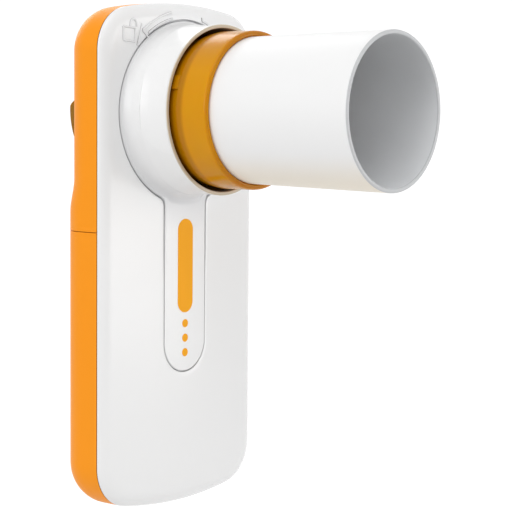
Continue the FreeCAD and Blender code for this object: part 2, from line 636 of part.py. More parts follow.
def battery_tray():
    """Tray with two round troughs, a bay for the board's tongue and walls for the contacts."""
    top_z = CELL_TOP_Z + PLATE_THICKNESS + TRAY_END_WALL
    low_wall_z = CELL_BOTTOM_Z - PLATE_THICKNESS - TRAY_END_WALL
    tray = prism(TRAY_INSET, 0, TRAY_HEIGHT).common(box(-FAR, FAR, 0, FAR, -FAR, top_z))
    floor_cut = box(-FAR, FAR, BRIDGE_TOP_Y, FAR, -FAR, low_wall_z)
    tray = tray.cut(floor_cut)
    end_z = ((top_z - TRAY_END_WALL, top_z), (low_wall_z, low_wall_z + TRAY_END_WALL))
    for z0, z1 in end_z:
        tray = tray.fuse(box(-TRAY_END_HALF_WIDTH, TRAY_END_HALF_WIDTH, TRAY_BAY_Y, TRAY_END_HEIGHT, z0, z1))
    trough_radius = CELL_RADIUS + FIT_GAP
    trough_z = CELL_BOTTOM_Z - PLATE_THICKNESS
    trough_length = CELL_TOP_Z + PLATE_THICKNESS - trough_z
    trough = Part.makeCylinder(trough_radius, trough_length, V(CELL_X, CELL_Y, trough_z), Z_AXIS)
    open_top = box(CELL_X - trough_radius, CELL_X + trough_radius, CELL_Y, FAR, trough_z,
                   trough_z + trough_length)
    tray = tray.cut(mirror_pair(trough) + mirror_pair(open_top))
    bay_half = BOARD_TONGUE_HALF_WIDTH + SEAT_GAP
    tray = tray.cut(box(-bay_half, bay_half, -PAST, TRAY_BAY_Y, -FAR, FAR))
    middle_cut = box(-bay_half, bay_half, BRIDGE_TOP_Y, TRAY_HEIGHT + PAST, trough_z,
                     trough_z + trough_length)
    tab_slot = box(-TAB_HALF_WIDTH - FIT_GAP, TAB_HALF_WIDTH + FIT_GAP, BRIDGE_TOP_Y, FAR, 0, FAR)
    tray = tray.cut([middle_cut, tab_slot])
    plate_half = PLATE_SIZE / 2 + FIT_GAP
    plate_slot = box(-CELL_X - plate_half, CELL_X + plate_half, CELL_Y - plate_half, FAR, trough_z,
                     CELL_BOTTOM_Z)
    tray = tray.cut(plate_slot)
    for x, z, head_y in screw_places():
        tray = tray.cut(rod(SCREW_RADIUS + FIT_GAP, 0, FAR, x, z))
        tray = tray.cut(rod(SCREW_HEAD_RADIUS + FIT_GAP, head_y, FAR, x, z))
    return tray.removeSplitter()


def battery_cell(x, nub_up):
    """One slim cell: can, positive nub and a small step round the negative end."""
    can_length = CELL_LENGTH - CELL_NUB_LENGTH
    z0 = CELL_TOP_Z - CELL_LENGTH if nub_up else CELL_BOTTOM_Z
    can_z = z0 if nub_up else z0 + CELL_NUB_LENGTH
    nub_z = can_z + can_length if nub_up else z0
    step_z = can_z if nub_up else can_z + can_length - CELL_STEP_DEPTH
    can = Part.makeCylinder(CELL_RADIUS, can_length, V(x, CELL_Y, can_z), Z_AXIS)
    nub = Part.makeCylinder(CELL_NUB_RADIUS, CELL_NUB_LENGTH, V(x, CELL_Y, nub_z), Z_AXIS)
    step = Part.makeCylinder(CELL_RADIUS, CELL_STEP_DEPTH, V(x, CELL_Y, step_z), Z_AXIS)
    end = Part.makeCylinder(CELL_RADIUS - CELL_STEP_WIDTH, CELL_STEP_DEPTH, V(x, CELL_Y, step_z), Z_AXIS)
    return can.cut(step.cut(end)).fuse(nub).removeSplitter()


def battery_cells():
    """Two cells, head to tail."""
    return Part.makeCompound([battery_cell(-CELL_X, True), battery_cell(CELL_X, False)])


def contact_leaf(x, z0, z1):
    """Bent leaf spring: a flat foot on the end wall, a slope and a round nose that touches the cell."""
    lift = 1 if z1 > z0 else -1
    reach = abs(z1 - z0)
    half = LEAF_RUN / 2
    thick = LEAF_THICKNESS
    side = [(-half, 0), (half, 0), (half, thick), (-half + 2 * thick, thick), (half - thick, reach - thick),
            (half - thick, reach), (half - 3 * thick, reach), (-half, 2 * thick)]
    points = [V(x - LEAF_WIDTH / 2, CELL_Y + y, z0 + lift * z) for y, z in side]
    return Part.Face(Part.makePolygon(points + points[:1])).extrude(V(LEAF_WIDTH, 0, 0))


def contact_springs():
    """One leaf spring under each negative end."""
    return Part.makeCompound([contact_leaf(-CELL_X, CELL_BOTTOM_Z, CELL_BOTTOM_Z + SPRING_LENGTH),
                              contact_leaf(CELL_X, CELL_TOP_Z, CELL_TOP_Z - SPRING_LENGTH)])


def contact_plate(x0, x1, z0):
    """Flat contact against an end wall of the tray."""
    half = PLATE_SIZE / 2
    return box(x0 - half, x1 + half, CELL_Y - half, CELL_Y + half, z0, z0 + PLATE_THICKNESS)


def contact_plates():
    """The two separate plates at the top of the tray."""
    return Part.makeCompound([contact_plate(x, x, CELL_TOP_Z) for x in (-CELL_X, CELL_X)])


def bridge_plate():
    """One plate at the foot of the tray that joins the two cells in series, cut under the bridge."""
    return contact_plate(-CELL_X, CELL_X, CELL_BOTTOM_Z - PLATE_THICKNESS)


def case_screws():
    """Three like screws with a slotted pan head."""
    screws = []
    for x, z, head_y in screw_places():
        head = rod(SCREW_HEAD_RADIUS, head_y, head_y + SCREW_HEAD_HEIGHT, x, z)
        top_y = head_y + SCREW_HEAD_HEIGHT
        slot = box(x - SCREW_HEAD_RADIUS, x + SCREW_HEAD_RADIUS, top_y - SCREW_SLOT_DEPTH, top_y + PAST,
                   z - SCREW_SLOT_WIDTH / 2, z + SCREW_SLOT_WIDTH / 2)
        shank = rod(SCREW_RADIUS, head_y - SCREW_LENGTH, head_y, x, z)
        screws.append(head.cut(slot).fuse(shank))
    return Part.makeCompound(screws)


def main_board():
    """Circuit board: a frame round the sensor collar with a tongue between the cells."""
    board = prism(BOARD_INSET, BOARD_Y, BOARD_BACK_Y).common(box(-FAR, FAR, -FAR, FAR, BOARD_BOTTOM_Z, FAR))
    half = BOARD_TONGUE_HALF_WIDTH
    board = board.fuse(box(-half, half, BOARD_Y, BOARD_BACK_Y, BOARD_TONGUE_BOTTOM_Z, BOARD_BOTTOM_Z + PAST))
    holes = [rod(COLLAR_RADIUS + FIT_GAP, BOARD_Y - PAST, BOARD_BACK_Y + PAST, 0, AIRWAY_Z)]
    for x, z in POST_PLACES:
        holes += mirror_pair(rod(POST_PIN_RADIUS + PIN_GAP, BOARD_Y - PAST, BOARD_BACK_Y + PAST, x, z))
    for x, z, _ in screw_places()[:2]:
        holes.append(rod(BOSS_RADIUS + FIT_GAP, BOARD_Y - PAST, BOARD_BACK_Y + PAST, x, z))
    return board.cut(holes).removeSplitter()


def on_board(width, length, height, x, z):
    """Flat package on the back of the board, centred on a place."""
    return box(x - width / 2, x + width / 2, BOARD_BACK_Y, BOARD_BACK_Y + height,
               z - length / 2, z + length / 2)


def board_chips():
    """Processor, memory, regulator and crystal."""
    return Part.makeCompound([on_board(width, length, height, x, DOOR_SPLIT_Z - drop)
                              for width, length, height, x, drop in CHIPS])


def radio_module():
    """Short-range radio: carrier board, shield can and a bare end for the aerial."""
    top_z = DOOR_SPLIT_Z - RADIO_DROP
    middle_z = top_z - RADIO_LENGTH / 2
    carrier = on_board(RADIO_WIDTH, RADIO_LENGTH, RADIO_BOARD, 0, middle_z)
    can_length = RADIO_LENGTH - RADIO_AERIAL_LENGTH
    can_z = top_z - RADIO_CAN_MARGIN - can_length / 2
    can = on_board(RADIO_WIDTH - 2 * RADIO_CAN_MARGIN, can_length, RADIO_BOARD + RADIO_CAN, 0, can_z)
    return carrier.fuse(can).removeSplitter()


def infrared_part(direction):
    """Side-looking infrared part on the board: a block with a round lens aimed at the rotor."""
    back = COLLAR_RADIUS + SEAT_GAP
    height = 2 * (BEAM_Y - BOARD_BACK_Y) - IR_BODY_MARGIN
    body = box(back, back + IR_BODY_DEPTH, BOARD_BACK_Y, BOARD_BACK_Y + height,
               AIRWAY_Z - IR_BODY_WIDTH / 2, AIRWAY_Z + IR_BODY_WIDTH / 2)
    lens = Part.makeSphere(IR_LENS_RADIUS, V(back, BEAM_Y, AIRWAY_Z))
    return turn_about_airway(body.fuse(lens), direction)


def infrared_emitters():
    """Emitters above the airway."""
    return Part.makeCompound([infrared_part(angle) for angle in BEAM_ANGLES])


def infrared_receivers():
    """Receivers below the airway, each facing its emitter."""
    return Part.makeCompound([infrared_part(angle + 180) for angle in BEAM_ANGLES])


def sensor_collar():
    """Black collar: seat of the turbine, with the bayonet groove, entry slots and beam windows."""
    tail_radius = NECK_BORE_RADIUS + COLLAR_TAIL_WALL
    collar = turned([(NECK_BORE_RADIUS, COLLAR_FRONT_Y), (COLLAR_RADIUS, COLLAR_FRONT_Y),
                     (COLLAR_RADIUS, COLLAR_STEP_Y), (tail_radius, COLLAR_STEP_Y),
                     (tail_radius, COLLAR_END_Y), (NECK_BORE_RADIUS, COLLAR_END_Y)])
    groove_y0 = LUG_FRONT_Y - SEAT_GAP
    groove_y1 = LUG_FRONT_Y + LUG_LENGTH + SEAT_GAP
    cuts = [ring(NECK_BORE_RADIUS - PAST, GROOVE_RADIUS, groove_y0, groove_y1)]
    slot_angle = LUG_ANGLE + 2 * LUG_SLOT_SLACK
    for direction in bayonet_directions(BAYONET_TURN):
        cuts.append(sector(NECK_BORE_RADIUS - PAST, GROOVE_RADIUS, COLLAR_FRONT_Y - PAST, groove_y1,
                           direction, slot_angle))
    window = Part.makeCylinder(WINDOW_RADIUS, 2 * (COLLAR_RADIUS + PAST),
                               V(-COLLAR_RADIUS - PAST, BEAM_Y, AIRWAY_Z), X_AXIS)
    cuts += [turn_about_airway(window, angle) for angle in BEAM_ANGLES]
    return collar.cut(cuts).removeSplitter()


def turbine_housing():
    """Amber turbine body: grip ring with the mouthpiece socket, tube, bayonet lugs and tail lobes."""
    round_radius = RING_RADIUS - RING_EDGE_ROUND
    round_end = RING_FRONT_Y + RING_EDGE_ROUND
    points = [(SOCKET_RADIUS, RING_FRONT_Y + SOCKET_MOUTH), (SOCKET_RADIUS + SOCKET_MOUTH, RING_FRONT_Y),
              (round_radius, RING_FRONT_Y), (RING_RADIUS, round_end), (RING_RADIUS, RING_REAR_Y),
              (TUBE_RADIUS, RING_REAR_Y), (TUBE_RADIUS, TUBE_END_Y), (TAIL_RADIUS, TUBE_END_Y),
              (TAIL_RADIUS, LOBE_END_Y), (BORE_RADIUS, LOBE_END_Y), (BORE_RADIUS, SOCKET_FLOOR_Y),
              (SOCKET_RADIUS, SOCKET_FLOOR_Y)]
    round_middle = (round_radius + RING_EDGE_ROUND * DIAGONAL, round_end - RING_EDGE_ROUND * DIAGONAL)
    housing = turned(points, {2: round_middle})
    lugs = [sector(TUBE_RADIUS - LUG_ROOT, TUBE_RADIUS + LUG_REACH, LUG_FRONT_Y, LUG_FRONT_Y + LUG_LENGTH,
                   direction, LUG_ANGLE) for direction in bayonet_directions()]
    step = 360.0 / BAYONET_COUNT
    for number in range(BAYONET_COUNT):
        lugs.append(sector(TUBE_RADIUS - LUG_ROOT, TUBE_RADIUS + INDEX_RIB_REACH, RING_REAR_Y - LUG_ROOT,
                           RING_REAR_Y + INDEX_RIB_LENGTH, INDEX_RIB_DIRECTION + step * number,
                           INDEX_RIB_ANGLE))
    housing = housing.fuse(lugs).removeSplitter()
    return housing.cut([turn_about_airway(tail_notch(), NOTCH_DIRECTION + step * number)
                        for number in range(BAYONET_COUNT)])


def tail_notch():
    """Cutter for one gap between the finger lobes; its flared mouth rounds the tips of the lobes."""
    half = LOBE_NOTCH_WIDTH / 2
    tip = LOBE_TIP_ROUND
    above = LOBE_END_Y + PAST
    outline = [(half + tip, above), (half + tip, LOBE_END_Y), (half, LOBE_END_Y - tip), (half, TAIL_END_Y),
               (-half, TAIL_END_Y), (-half, LOBE_END_Y - tip), (-half - tip, LOBE_END_Y),
               (-half - tip, above)]
    middle = half + tip - tip * DIAGONAL
    middle_y = LOBE_END_Y - tip + tip * DIAGONAL

    def place(point):
        return V(BORE_RADIUS / 2, point[1], AIRWAY_Z + point[0])

    wire = closed_wire([place(point) for point in outline],
                       {1: place((middle, middle_y)), 5: place((-middle, middle_y))})
    return Part.Face(wire).extrude(V(TAIL_RADIUS, 0, 0))


def swirl_vane(y0, y1, pitch):
    """Flat blade from the hub to the ring, pitched about its own radial line and cut off square."""
    half = SWIRL_VANE_THICKNESS / 2
    half_length = y1 - y0
    middle = (y0 + y1) / 2
    blade = box(-half, half, middle - half_length, middle + half_length,
                AIRWAY_Z + SWIRL_ROOT, AIRWAY_Z + BORE_RADIUS - SWIRLER_RING_WALL)
    blade.rotate(V(0, middle, 0), Z_AXIS, pitch)
    return blade.common(box(-FAR, FAR, y0, y1, -FAR, FAR))


def span(face_y, sign, near, far):
    """Two depths measured from a face towards one side, the lower first."""
    return sorted((face_y + sign * near, face_y + sign * far))


def swirler(y0, y1, pitch, nose_sign):
    """Fixed swirler: a hub with a rounded nose, pitched blades and a ring pressed into the turbine."""
    outer = BORE_RADIUS - PIN_GAP
    body = ring(outer - SWIRLER_RING_WALL, outer, y0, y1)
    face_y = y1 if nose_sign < 0 else y0
    nose_y = y0 if nose_sign < 0 else y1
    hub = rod(HUB_RADIUS, y0, y1, 0, AIRWAY_Z)
    hub = hub.fuse(Part.makeSphere(HUB_RADIUS, V(0, nose_y, AIRWAY_Z)))
    vane = swirl_vane(y0 + SWIRL_MARGIN, y1 - SWIRL_MARGIN, pitch)
    vanes = [turn_about_airway(vane, 360.0 / SWIRL_VANES * number) for number in range(SWIRL_VANES)]
    shape = body.fuse([hub] + vanes)
    seat = span(face_y, nose_sign, 0, BEARING_INSET + BEARING_LENGTH)
    pocket = span(face_y, nose_sign, 0, AXLE_OVERLAP + RUN_GAP)
    shape = shape.cut(rod(BEARING_RADIUS, *seat, 0, AIRWAY_Z))
    shape = shape.cut(rod(AXLE_RADIUS + FIT_GAP, *pocket, 0, AIRWAY_Z))
    return shape.removeSplitter()


def bearing(face_y, sign):
    """Plain bush in the hub of a swirler."""
    ends = span(face_y, sign, BEARING_INSET, BEARING_INSET + BEARING_LENGTH)
    return ring(AXLE_RADIUS + PIN_GAP, BEARING_RADIUS, *ends)


def rotor_axle():
    """Thin steel axle with bevelled ends."""
    y0 = FRONT_SWIRLER_END_Y - AXLE_OVERLAP
    y1 = REAR_SWIRLER_START_Y + AXLE_OVERLAP
    axle = rod(AXLE_RADIUS, y0, y1, 0, AIRWAY_Z)
    return axle.makeChamfer(AXLE_TIP, [edge for edge in axle.Edges if edge.isClosed()
                                       and len(edge.Vertexes) == 1])


def rotor_vane():
    """Flat rotor blade with a slim hub, set on the axle."""
    blade = box(-VANE_RADIUS, VANE_RADIUS, ROTOR_FRONT_Y, ROTOR_REAR_Y,
                AIRWAY_Z - VANE_THICKNESS / 2, AIRWAY_Z + VANE_THICKNESS / 2)
    corners = [edge for edge in blade.Edges if abs(edge.Length - VANE_THICKNESS) < NEAR]
    blade = blade.makeChamfer(VANE_CORNER, corners)
    hub = rod(VANE_HUB_RADIUS, ROTOR_FRONT_Y - VANE_HUB_EXTRA, ROTOR_REAR_Y + VANE_HUB_EXTRA, 0, AIRWAY_Z)
    bore = rod(AXLE_RADIUS + PIN_GAP / 2, ROTOR_FRONT_Y - PAST, ROTOR_REAR_Y + PAST, 0, AIRWAY_Z)
    return blade.fuse(hub).cut(bore).removeSplitter()


def mouthpiece():
    """Plain white tube, pushed into the socket of the turbine."""
    inner = MOUTHPIECE_RADIUS - MOUTHPIECE_WALL
    y0 = RING_FRONT_Y - MOUTHPIECE_EXPOSED
    tube = ring(inner, MOUTHPIECE_RADIUS, y0, SOCKET_FLOOR_Y - SEAT_GAP)
    free_end = [edge for edge in tube.Edges if edge.isClosed() and abs(edge.Vertexes[0].Point.y - y0) < NEAR
                and abs(edge.CenterOfMass.y - y0) < NEAR]
    return tube.makeChamfer(MOUTHPIECE_EDGE, free_end)


def inner_side_x(y):
    """Inner face of the upper cover's right-hand wall at a depth, where it may already curve inwards."""
    radius = BACK_EDGE_ROUND - REAR_WALL
    past_straight = max(0.0, y - (UPPER_REAR_DEPTH - REAR_WALL - radius))
    return SIDE_INNER_X - radius + math.sqrt(radius ** 2 - past_straight ** 2)


def button_blank(gap, x1):
    """Stadium-shaped bar through the right-hand wall, grown by the gap."""
    half = BUTTON_WIDTH / 2 + gap
    straight = BUTTON_LENGTH / 2 - BUTTON_WIDTH / 2
    x0 = SIDE_INNER_X - PAST
    bar = box(x0, x1, BUTTON_Y - half, BUTTON_Y + half, BUTTON_Z - straight, BUTTON_Z + straight)
    for z in (BUTTON_Z - straight, BUTTON_Z + straight):
        bar = bar.fuse(Part.makeCylinder(half, x1 - x0, V(x0, BUTTON_Y, z), X_AXIS))
    return bar.removeSplitter()


def button_flange_x():
    """Outer face of the button's flange, just clear of the curved wall."""
    return inner_side_x(BUTTON_Y + BUTTON_WIDTH / 2 + BUTTON_FLANGE / 2) - FIT_GAP


def power_button():
    """Push button: a stadium cap with a softened face and a flange behind the wall."""
    cap = button_blank(0, HALF_WIDTH + BUTTON_PROUD)
    face = [edge for edge in cap.Edges
            if min(v.Point.x for v in edge.Vertexes) > HALF_WIDTH + BUTTON_PROUD - NEAR]
    cap = cap.makeChamfer(BUTTON_EDGE, face)
    half = BUTTON_WIDTH / 2 + BUTTON_FLANGE / 2
    x1 = button_flange_x()
    x0 = x1 - BUTTON_FLANGE_THICKNESS
    flange = box(x0, x1, BUTTON_Y - half, BUTTON_Y + half,
                 BUTTON_Z - BUTTON_LENGTH / 2 - BUTTON_FLANGE, BUTTON_Z + BUTTON_LENGTH / 2 + BUTTON_FLANGE)
    cap = cap.cut(box(0, x0, -FAR, FAR, -FAR, FAR))
    return cap.fuse(flange).removeSplitter()


def power_switch():
    """Small push switch on the board, its plunger towards the button."""
    tip_x = button_flange_x() - BUTTON_FLANGE_THICKNESS - BUTTON_TRAVEL - SEAT_GAP / 2
    body_x = tip_x - SWITCH_PLUNGER_LENGTH
    half = SWITCH_SIZE / 2
    body = box(body_x - SWITCH_SIZE, body_x, BOARD_BACK_Y, BUTTON_Y + half, BUTTON_Z - half, BUTTON_Z + half)
    plunger = Part.makeCylinder(SWITCH_PLUNGER_RADIUS, SWITCH_PLUNGER_LENGTH + SWITCH_PLUNGER_ROOT,
                                V(body_x - SWITCH_PLUNGER_ROOT, BUTTON_Y, BUTTON_Z), X_AXIS)
    return body.fuse(plunger).removeSplitter()


def light_hole():
    """Round hole in the right-hand wall for the status light."""
    return Part.makeCylinder(LIGHT_RADIUS + FIT_GAP, REAR_WALL + 2 * PAST,
                             V(SIDE_INNER_X - PAST, BUTTON_Y, LIGHT_Z), X_AXIS)


def light_flange_x():
    """Inner end of the light pipe, with its flange just clear of the curved wall."""
    return inner_side_x(BUTTON_Y + LIGHT_RADIUS + LIGHT_FLANGE) - FIT_GAP - LIGHT_FLANGE


def light_pipe():
    """Clear light pipe, flush with the wall, with a flange behind it."""
    x0 = light_flange_x()
    pipe = Part.makeCylinder(LIGHT_RADIUS, HALF_WIDTH - x0, V(x0, BUTTON_Y, LIGHT_Z), X_AXIS)
    flange = Part.makeCylinder(LIGHT_RADIUS + LIGHT_FLANGE, LIGHT_FLANGE, V(x0, BUTTON_Y, LIGHT_Z), X_AXIS)
    return pipe.fuse(flange).removeSplitter()


def status_led():
    """Side-looking light on the board, behind the light pipe."""
    x1 = HALF_WIDTH - TONGUE_INSET - TONGUE_WALL - FIT_GAP
    half = LED_SIZE / 2
    return box(x1 - LED_SIZE, x1, BOARD_BACK_Y, BUTTON_Y + half, LIGHT_Z - half, LIGHT_Z + half)


def save(name, shape):
    """Move a piece so that the origin is on the flat back, and write it."""
    placed = shape.copy()
    placed.translate(V(0, -REAR_DEPTH, 0))
    if not placed.isValid():
        raise ValueError(name + " is not a valid shape")
    placed.exportStep("parts/" + name + ".step")


def build():
    """Every piece of the meter, by name."""
    return {
        "front_shell": front_shell(),
        "neck_bezel": neck_bezel(),
        "accent_label": accent_label(),
        "rear_shell": rear_shell(),
        "battery_door": battery_door(),
        "battery_tray": battery_tray(),
        "battery_cells": battery_cells(),
        "contact_springs": contact_springs(),
        "contact_plates": contact_plates(),
        "bridge_plate": bridge_plate(),
        "case_screws": case_screws(),
        "main_board": main_board(),
        "board_chips": board_chips(),
        "radio_module": radio_module(),
        "infrared_emitters": infrared_emitters(),
        "infrared_receivers": infrared_receivers(),
        "sensor_collar": sensor_collar(),
        "power_switch": power_switch(),
        "power_button": power_button(),
        "status_led": status_led(),
        "light_pipe": light_pipe(),
        "turbine_housing": turbine_housing(),
        "front_swirler": swirler(FRONT_SWIRLER_END_Y - SWIRLER_LENGTH, FRONT_SWIRLER_END_Y, SWIRL_PITCH, -1),
        "rear_swirler": swirler(REAR_SWIRLER_START_Y, TAIL_END_Y - REAR_SWIRLER_INSET, -SWIRL_PITCH, 1),
        "front_bearing": bearing(FRONT_SWIRLER_END_Y, -1),
        "rear_bearing": bearing(REAR_SWIRLER_START_Y, 1),
        "rotor_axle": rotor_axle(),
        "rotor_vane": rotor_vane(),
        "mouthpiece": mouthpiece(),
    }


def main():
    os.makedirs("parts", exist_ok=True)
    for name, shape in build().items():
        save(name, shape)


main()
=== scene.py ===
import json
import math

import bmesh
import bpy
import numpy as np
from mathutils import Matrix, Vector


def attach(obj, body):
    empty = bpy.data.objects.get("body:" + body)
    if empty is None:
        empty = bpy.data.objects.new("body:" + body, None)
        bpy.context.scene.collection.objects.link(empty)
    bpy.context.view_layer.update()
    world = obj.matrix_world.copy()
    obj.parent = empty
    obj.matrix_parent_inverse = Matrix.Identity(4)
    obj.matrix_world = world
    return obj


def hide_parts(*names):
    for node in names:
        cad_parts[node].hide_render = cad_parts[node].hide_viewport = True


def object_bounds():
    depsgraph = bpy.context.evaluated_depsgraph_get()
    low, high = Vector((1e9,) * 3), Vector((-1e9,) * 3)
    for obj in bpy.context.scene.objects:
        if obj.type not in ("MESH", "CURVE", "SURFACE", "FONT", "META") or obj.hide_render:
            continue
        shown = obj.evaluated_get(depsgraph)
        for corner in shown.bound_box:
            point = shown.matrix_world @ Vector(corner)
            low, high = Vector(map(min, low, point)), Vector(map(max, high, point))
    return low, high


bl_info = {
    "name": "Peak flow meter",
    "version": (1, 0, 0),
    "blender": (4, 5, 0),
    "location": "3D View > Sidebar > Meter",
    "description": "Builds the visible surfaces and finishes of a hand-held peak flow meter",
    "category": "Object",
}

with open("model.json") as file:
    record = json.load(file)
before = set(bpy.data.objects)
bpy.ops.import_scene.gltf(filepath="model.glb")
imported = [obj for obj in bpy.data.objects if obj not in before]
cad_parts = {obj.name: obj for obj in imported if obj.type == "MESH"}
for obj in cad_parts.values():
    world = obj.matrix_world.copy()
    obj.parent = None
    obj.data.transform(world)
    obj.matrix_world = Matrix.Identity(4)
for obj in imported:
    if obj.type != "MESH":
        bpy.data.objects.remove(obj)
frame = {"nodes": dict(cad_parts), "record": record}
cad_box = [list(corner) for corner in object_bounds()]

MM = 0.001
QUARTER = math.pi / 2

# Fixed sizes and places in millimetres, with y measured from the parting plane

BACK_Y = 12.6          # the flat back
AIRWAY_Z = 31.6
SPINE_LOW_Z = -18.95   # middle of the strip's round end
SEAM = 0.11            # half of the open line between front and rear covers
INSERT_GAP = 0.25
FILLET = 2.5           # between the neck insert's round part and its strip
LEDGE = 0.8            # how far the pocket's ledge reaches under the insert
RIM = 2.85             # width of the front cover's rim, up to the inside of its tongue
TONGUE_Y = 1.6
BOSS, BOSS_HOLE = 2.0, 0.95
BOSSES = ((4.2, -1.0, 3.0), (-4.2, -1.0, 3.0), (0.0, -48.6, 3.0), (19.0, 42.0, 0.4), (-19.0, 42.0, 0.4),
          (13.0, -50.9, 0.4), (-13.0, -50.9, 0.4))     # x, z and the y of the top
PLATE = 0.9            # thickness of the insert's plate
BORE, BORE_Y = 16.1, -0.35
SEAT, SEAT_Y = 16.95, -2.0     # seat of the sensor collar, behind the bore
HOLLOW_UP, HOLLOW_DOWN, HOLLOW_LENGTH = 54.0, 31.0, 8.6     # reach of a finger hollow, in degrees and along y
MARK, DOT, DOTS_Z = 2.4, 0.9, (-14.9, -18.1, -21.3)
MARK_TOP_Z, MARK_FOOT_Z = 5.6, -10.1
STROKE, STROKE_LIFT = 0.45, 0.28
RAMP_Z, RAMP = 9.9, 7.2         # foot and height of the step in the back
BULKHEAD, BULKHEAD_INSET = 1.4, 0.8
COVER_FOOT_Y = 1.8     # front edge of the bulkhead and of the door's lip
GROOVES, GROOVE_STEP, GROOVE_RADIUS, GROOVE_DEPTH, GROOVE_HALF = 4, 2.6, 1.1, 0.45, 8.3
AIRWAY, BARREL, TAIL = 14.0, 15.8, 15.2      # inner radius of the turbine, and outer radii of barrel and tail
TAIL_Y, NOTCH_Y, SOCKET_Y = 17.6, 14.6, -13.5
LOBE, LOBE_AIM = 5.9, 148.0    # half width of a finger lobe, and the direction of one of them in degrees
BUTTON_Y, SIDE_X = -9.1, 22.0
OUTLINED = ((13.0, 2.6, 1.4), (20.5, 0.0, 1.25))     # z, half length and radius of the button and the light

# Stage, with places in metres

CAMERA_PLACE = (-0.280992, -0.266702, 0.031182)
CAMERA_TURN = (0.8820372, -0.0826404, 0.0083343)     # azimuth, pitch and roll in radians
CAMERA_FOCUS = 1731.649 / 512                        # focal length, in widths of the picture
FLOOR_DROP, FLOOR_AIM = 0.075, math.radians(-50.5)
SKY, GLOW, GLOW_SHARE = 0.6, 1.27, 0.7
AIMED_AT = (0.0, -0.02, 0.01)
LAMPS = (("key", (-0.30, -0.30, 0.70), 0.5, 1.25), ("side", (-0.75, 0.05, 0.25), 0.5, 1.7),
         ("front", (0.40, -0.65, 0.0), 0.45, 1.7), ("back", (0.30, 0.65, 0.40), 0.5, 1.8))     # width, power


# Surfaces

def length(name, default_mm, description):
    """A size property, stated here in millimetres and kept in metres."""
    return bpy.props.FloatProperty(name=name, default=default_mm * MM, unit="LENGTH", description=description)


def colour(name, default, description):
    """A colour property, as linear red, green and blue."""
    return bpy.props.FloatVectorProperty(name=name, default=default, subtype="COLOR", size=3, min=0, max=1,
                                         description=description)


class MeterSizes(bpy.types.PropertyGroup):
    """Sizes of the visible surfaces."""
    half_width: length("Half width", 24.5, "Half of the body's width")
    half_height: length("Half height", 54.5, "Half of the body's height")
    end_rise: length("End rise", 3.05, "Rise of the arched ends")
    corner: length("Corner radius", 9.4, "Radius of the body's corners")
    crown: length("Crown", 1.3, "How far the middle of the face stands out")
    edge_depth: length("Edge depth", 1.5, "Depth of the face's edge in front of the parting plane")
    front_round: length("Front rounding", 3.2, "Width of the face's soft edge")
    wall: length("Wall", 1.6, "Thickness of the covers")
    outlet: length("Outlet radius", 15.3, "Radius of the turbine's outlet in the rear cover")
    dish: length("Outlet dish", 0.8, "Depth of the sloped ring round the outlet")
    back_round: length("Back rounding", 8.0, "Radius of the back's soft edge")
    upper_depth: length("Upper depth", 11.4, "Depth of the upper part of the back")
    lower_depth: length("Lower depth", 12.6, "Depth of the battery door's back")
    split_z: length("Door line", 6.0, "Height of the line between rear cover and door")
    bezel: length("Bezel radius", 19.6, "Radius of the round part of the neck insert")
    bezel_drop: length("Bezel drop", 0.55, "How far that round part sits below the airway")
    strip: length("Strip half width", 6.45, "Half of the width of the strip")
    neck: length("Neck radius", 18.3, "Radius of the neck above its cove")
    waist: length("Neck waist", 18.0, "Smallest radius of the neck")
    lip: length("Neck lip radius", 18.15, "Radius of the neck at its lip")
    lip_y: length("Neck lip depth", -13.7, "Place of the neck's lip along the airway")
    cove: length("Neck cove", 0.9, "Width of the cove at the neck's foot")
    cove_length: length("Neck cove length", 3.4, "Length of the cove along the airway")
    scallop: length("Scallop depth", 0.55, "Depth of the finger hollows")
    tube: length("Mouthpiece radius", 15.4, "Outer radius of the mouthpiece")
    tube_flare: length("Mouthpiece flare", 0.7, "How much wider the mouthpiece is at its free end")
    tube_wall: length("Mouthpiece wall", 0.9, "Wall of the mouthpiece")
    tube_end: length("Mouthpiece end", -58.0, "Free end of the mouthpiece along the airway")
    ring: length("Grip ring radius", 16.65, "Outer radius of the amber ring")
    ring_front: length("Grip ring front", -23.0, "Front face of the amber ring along the airway")


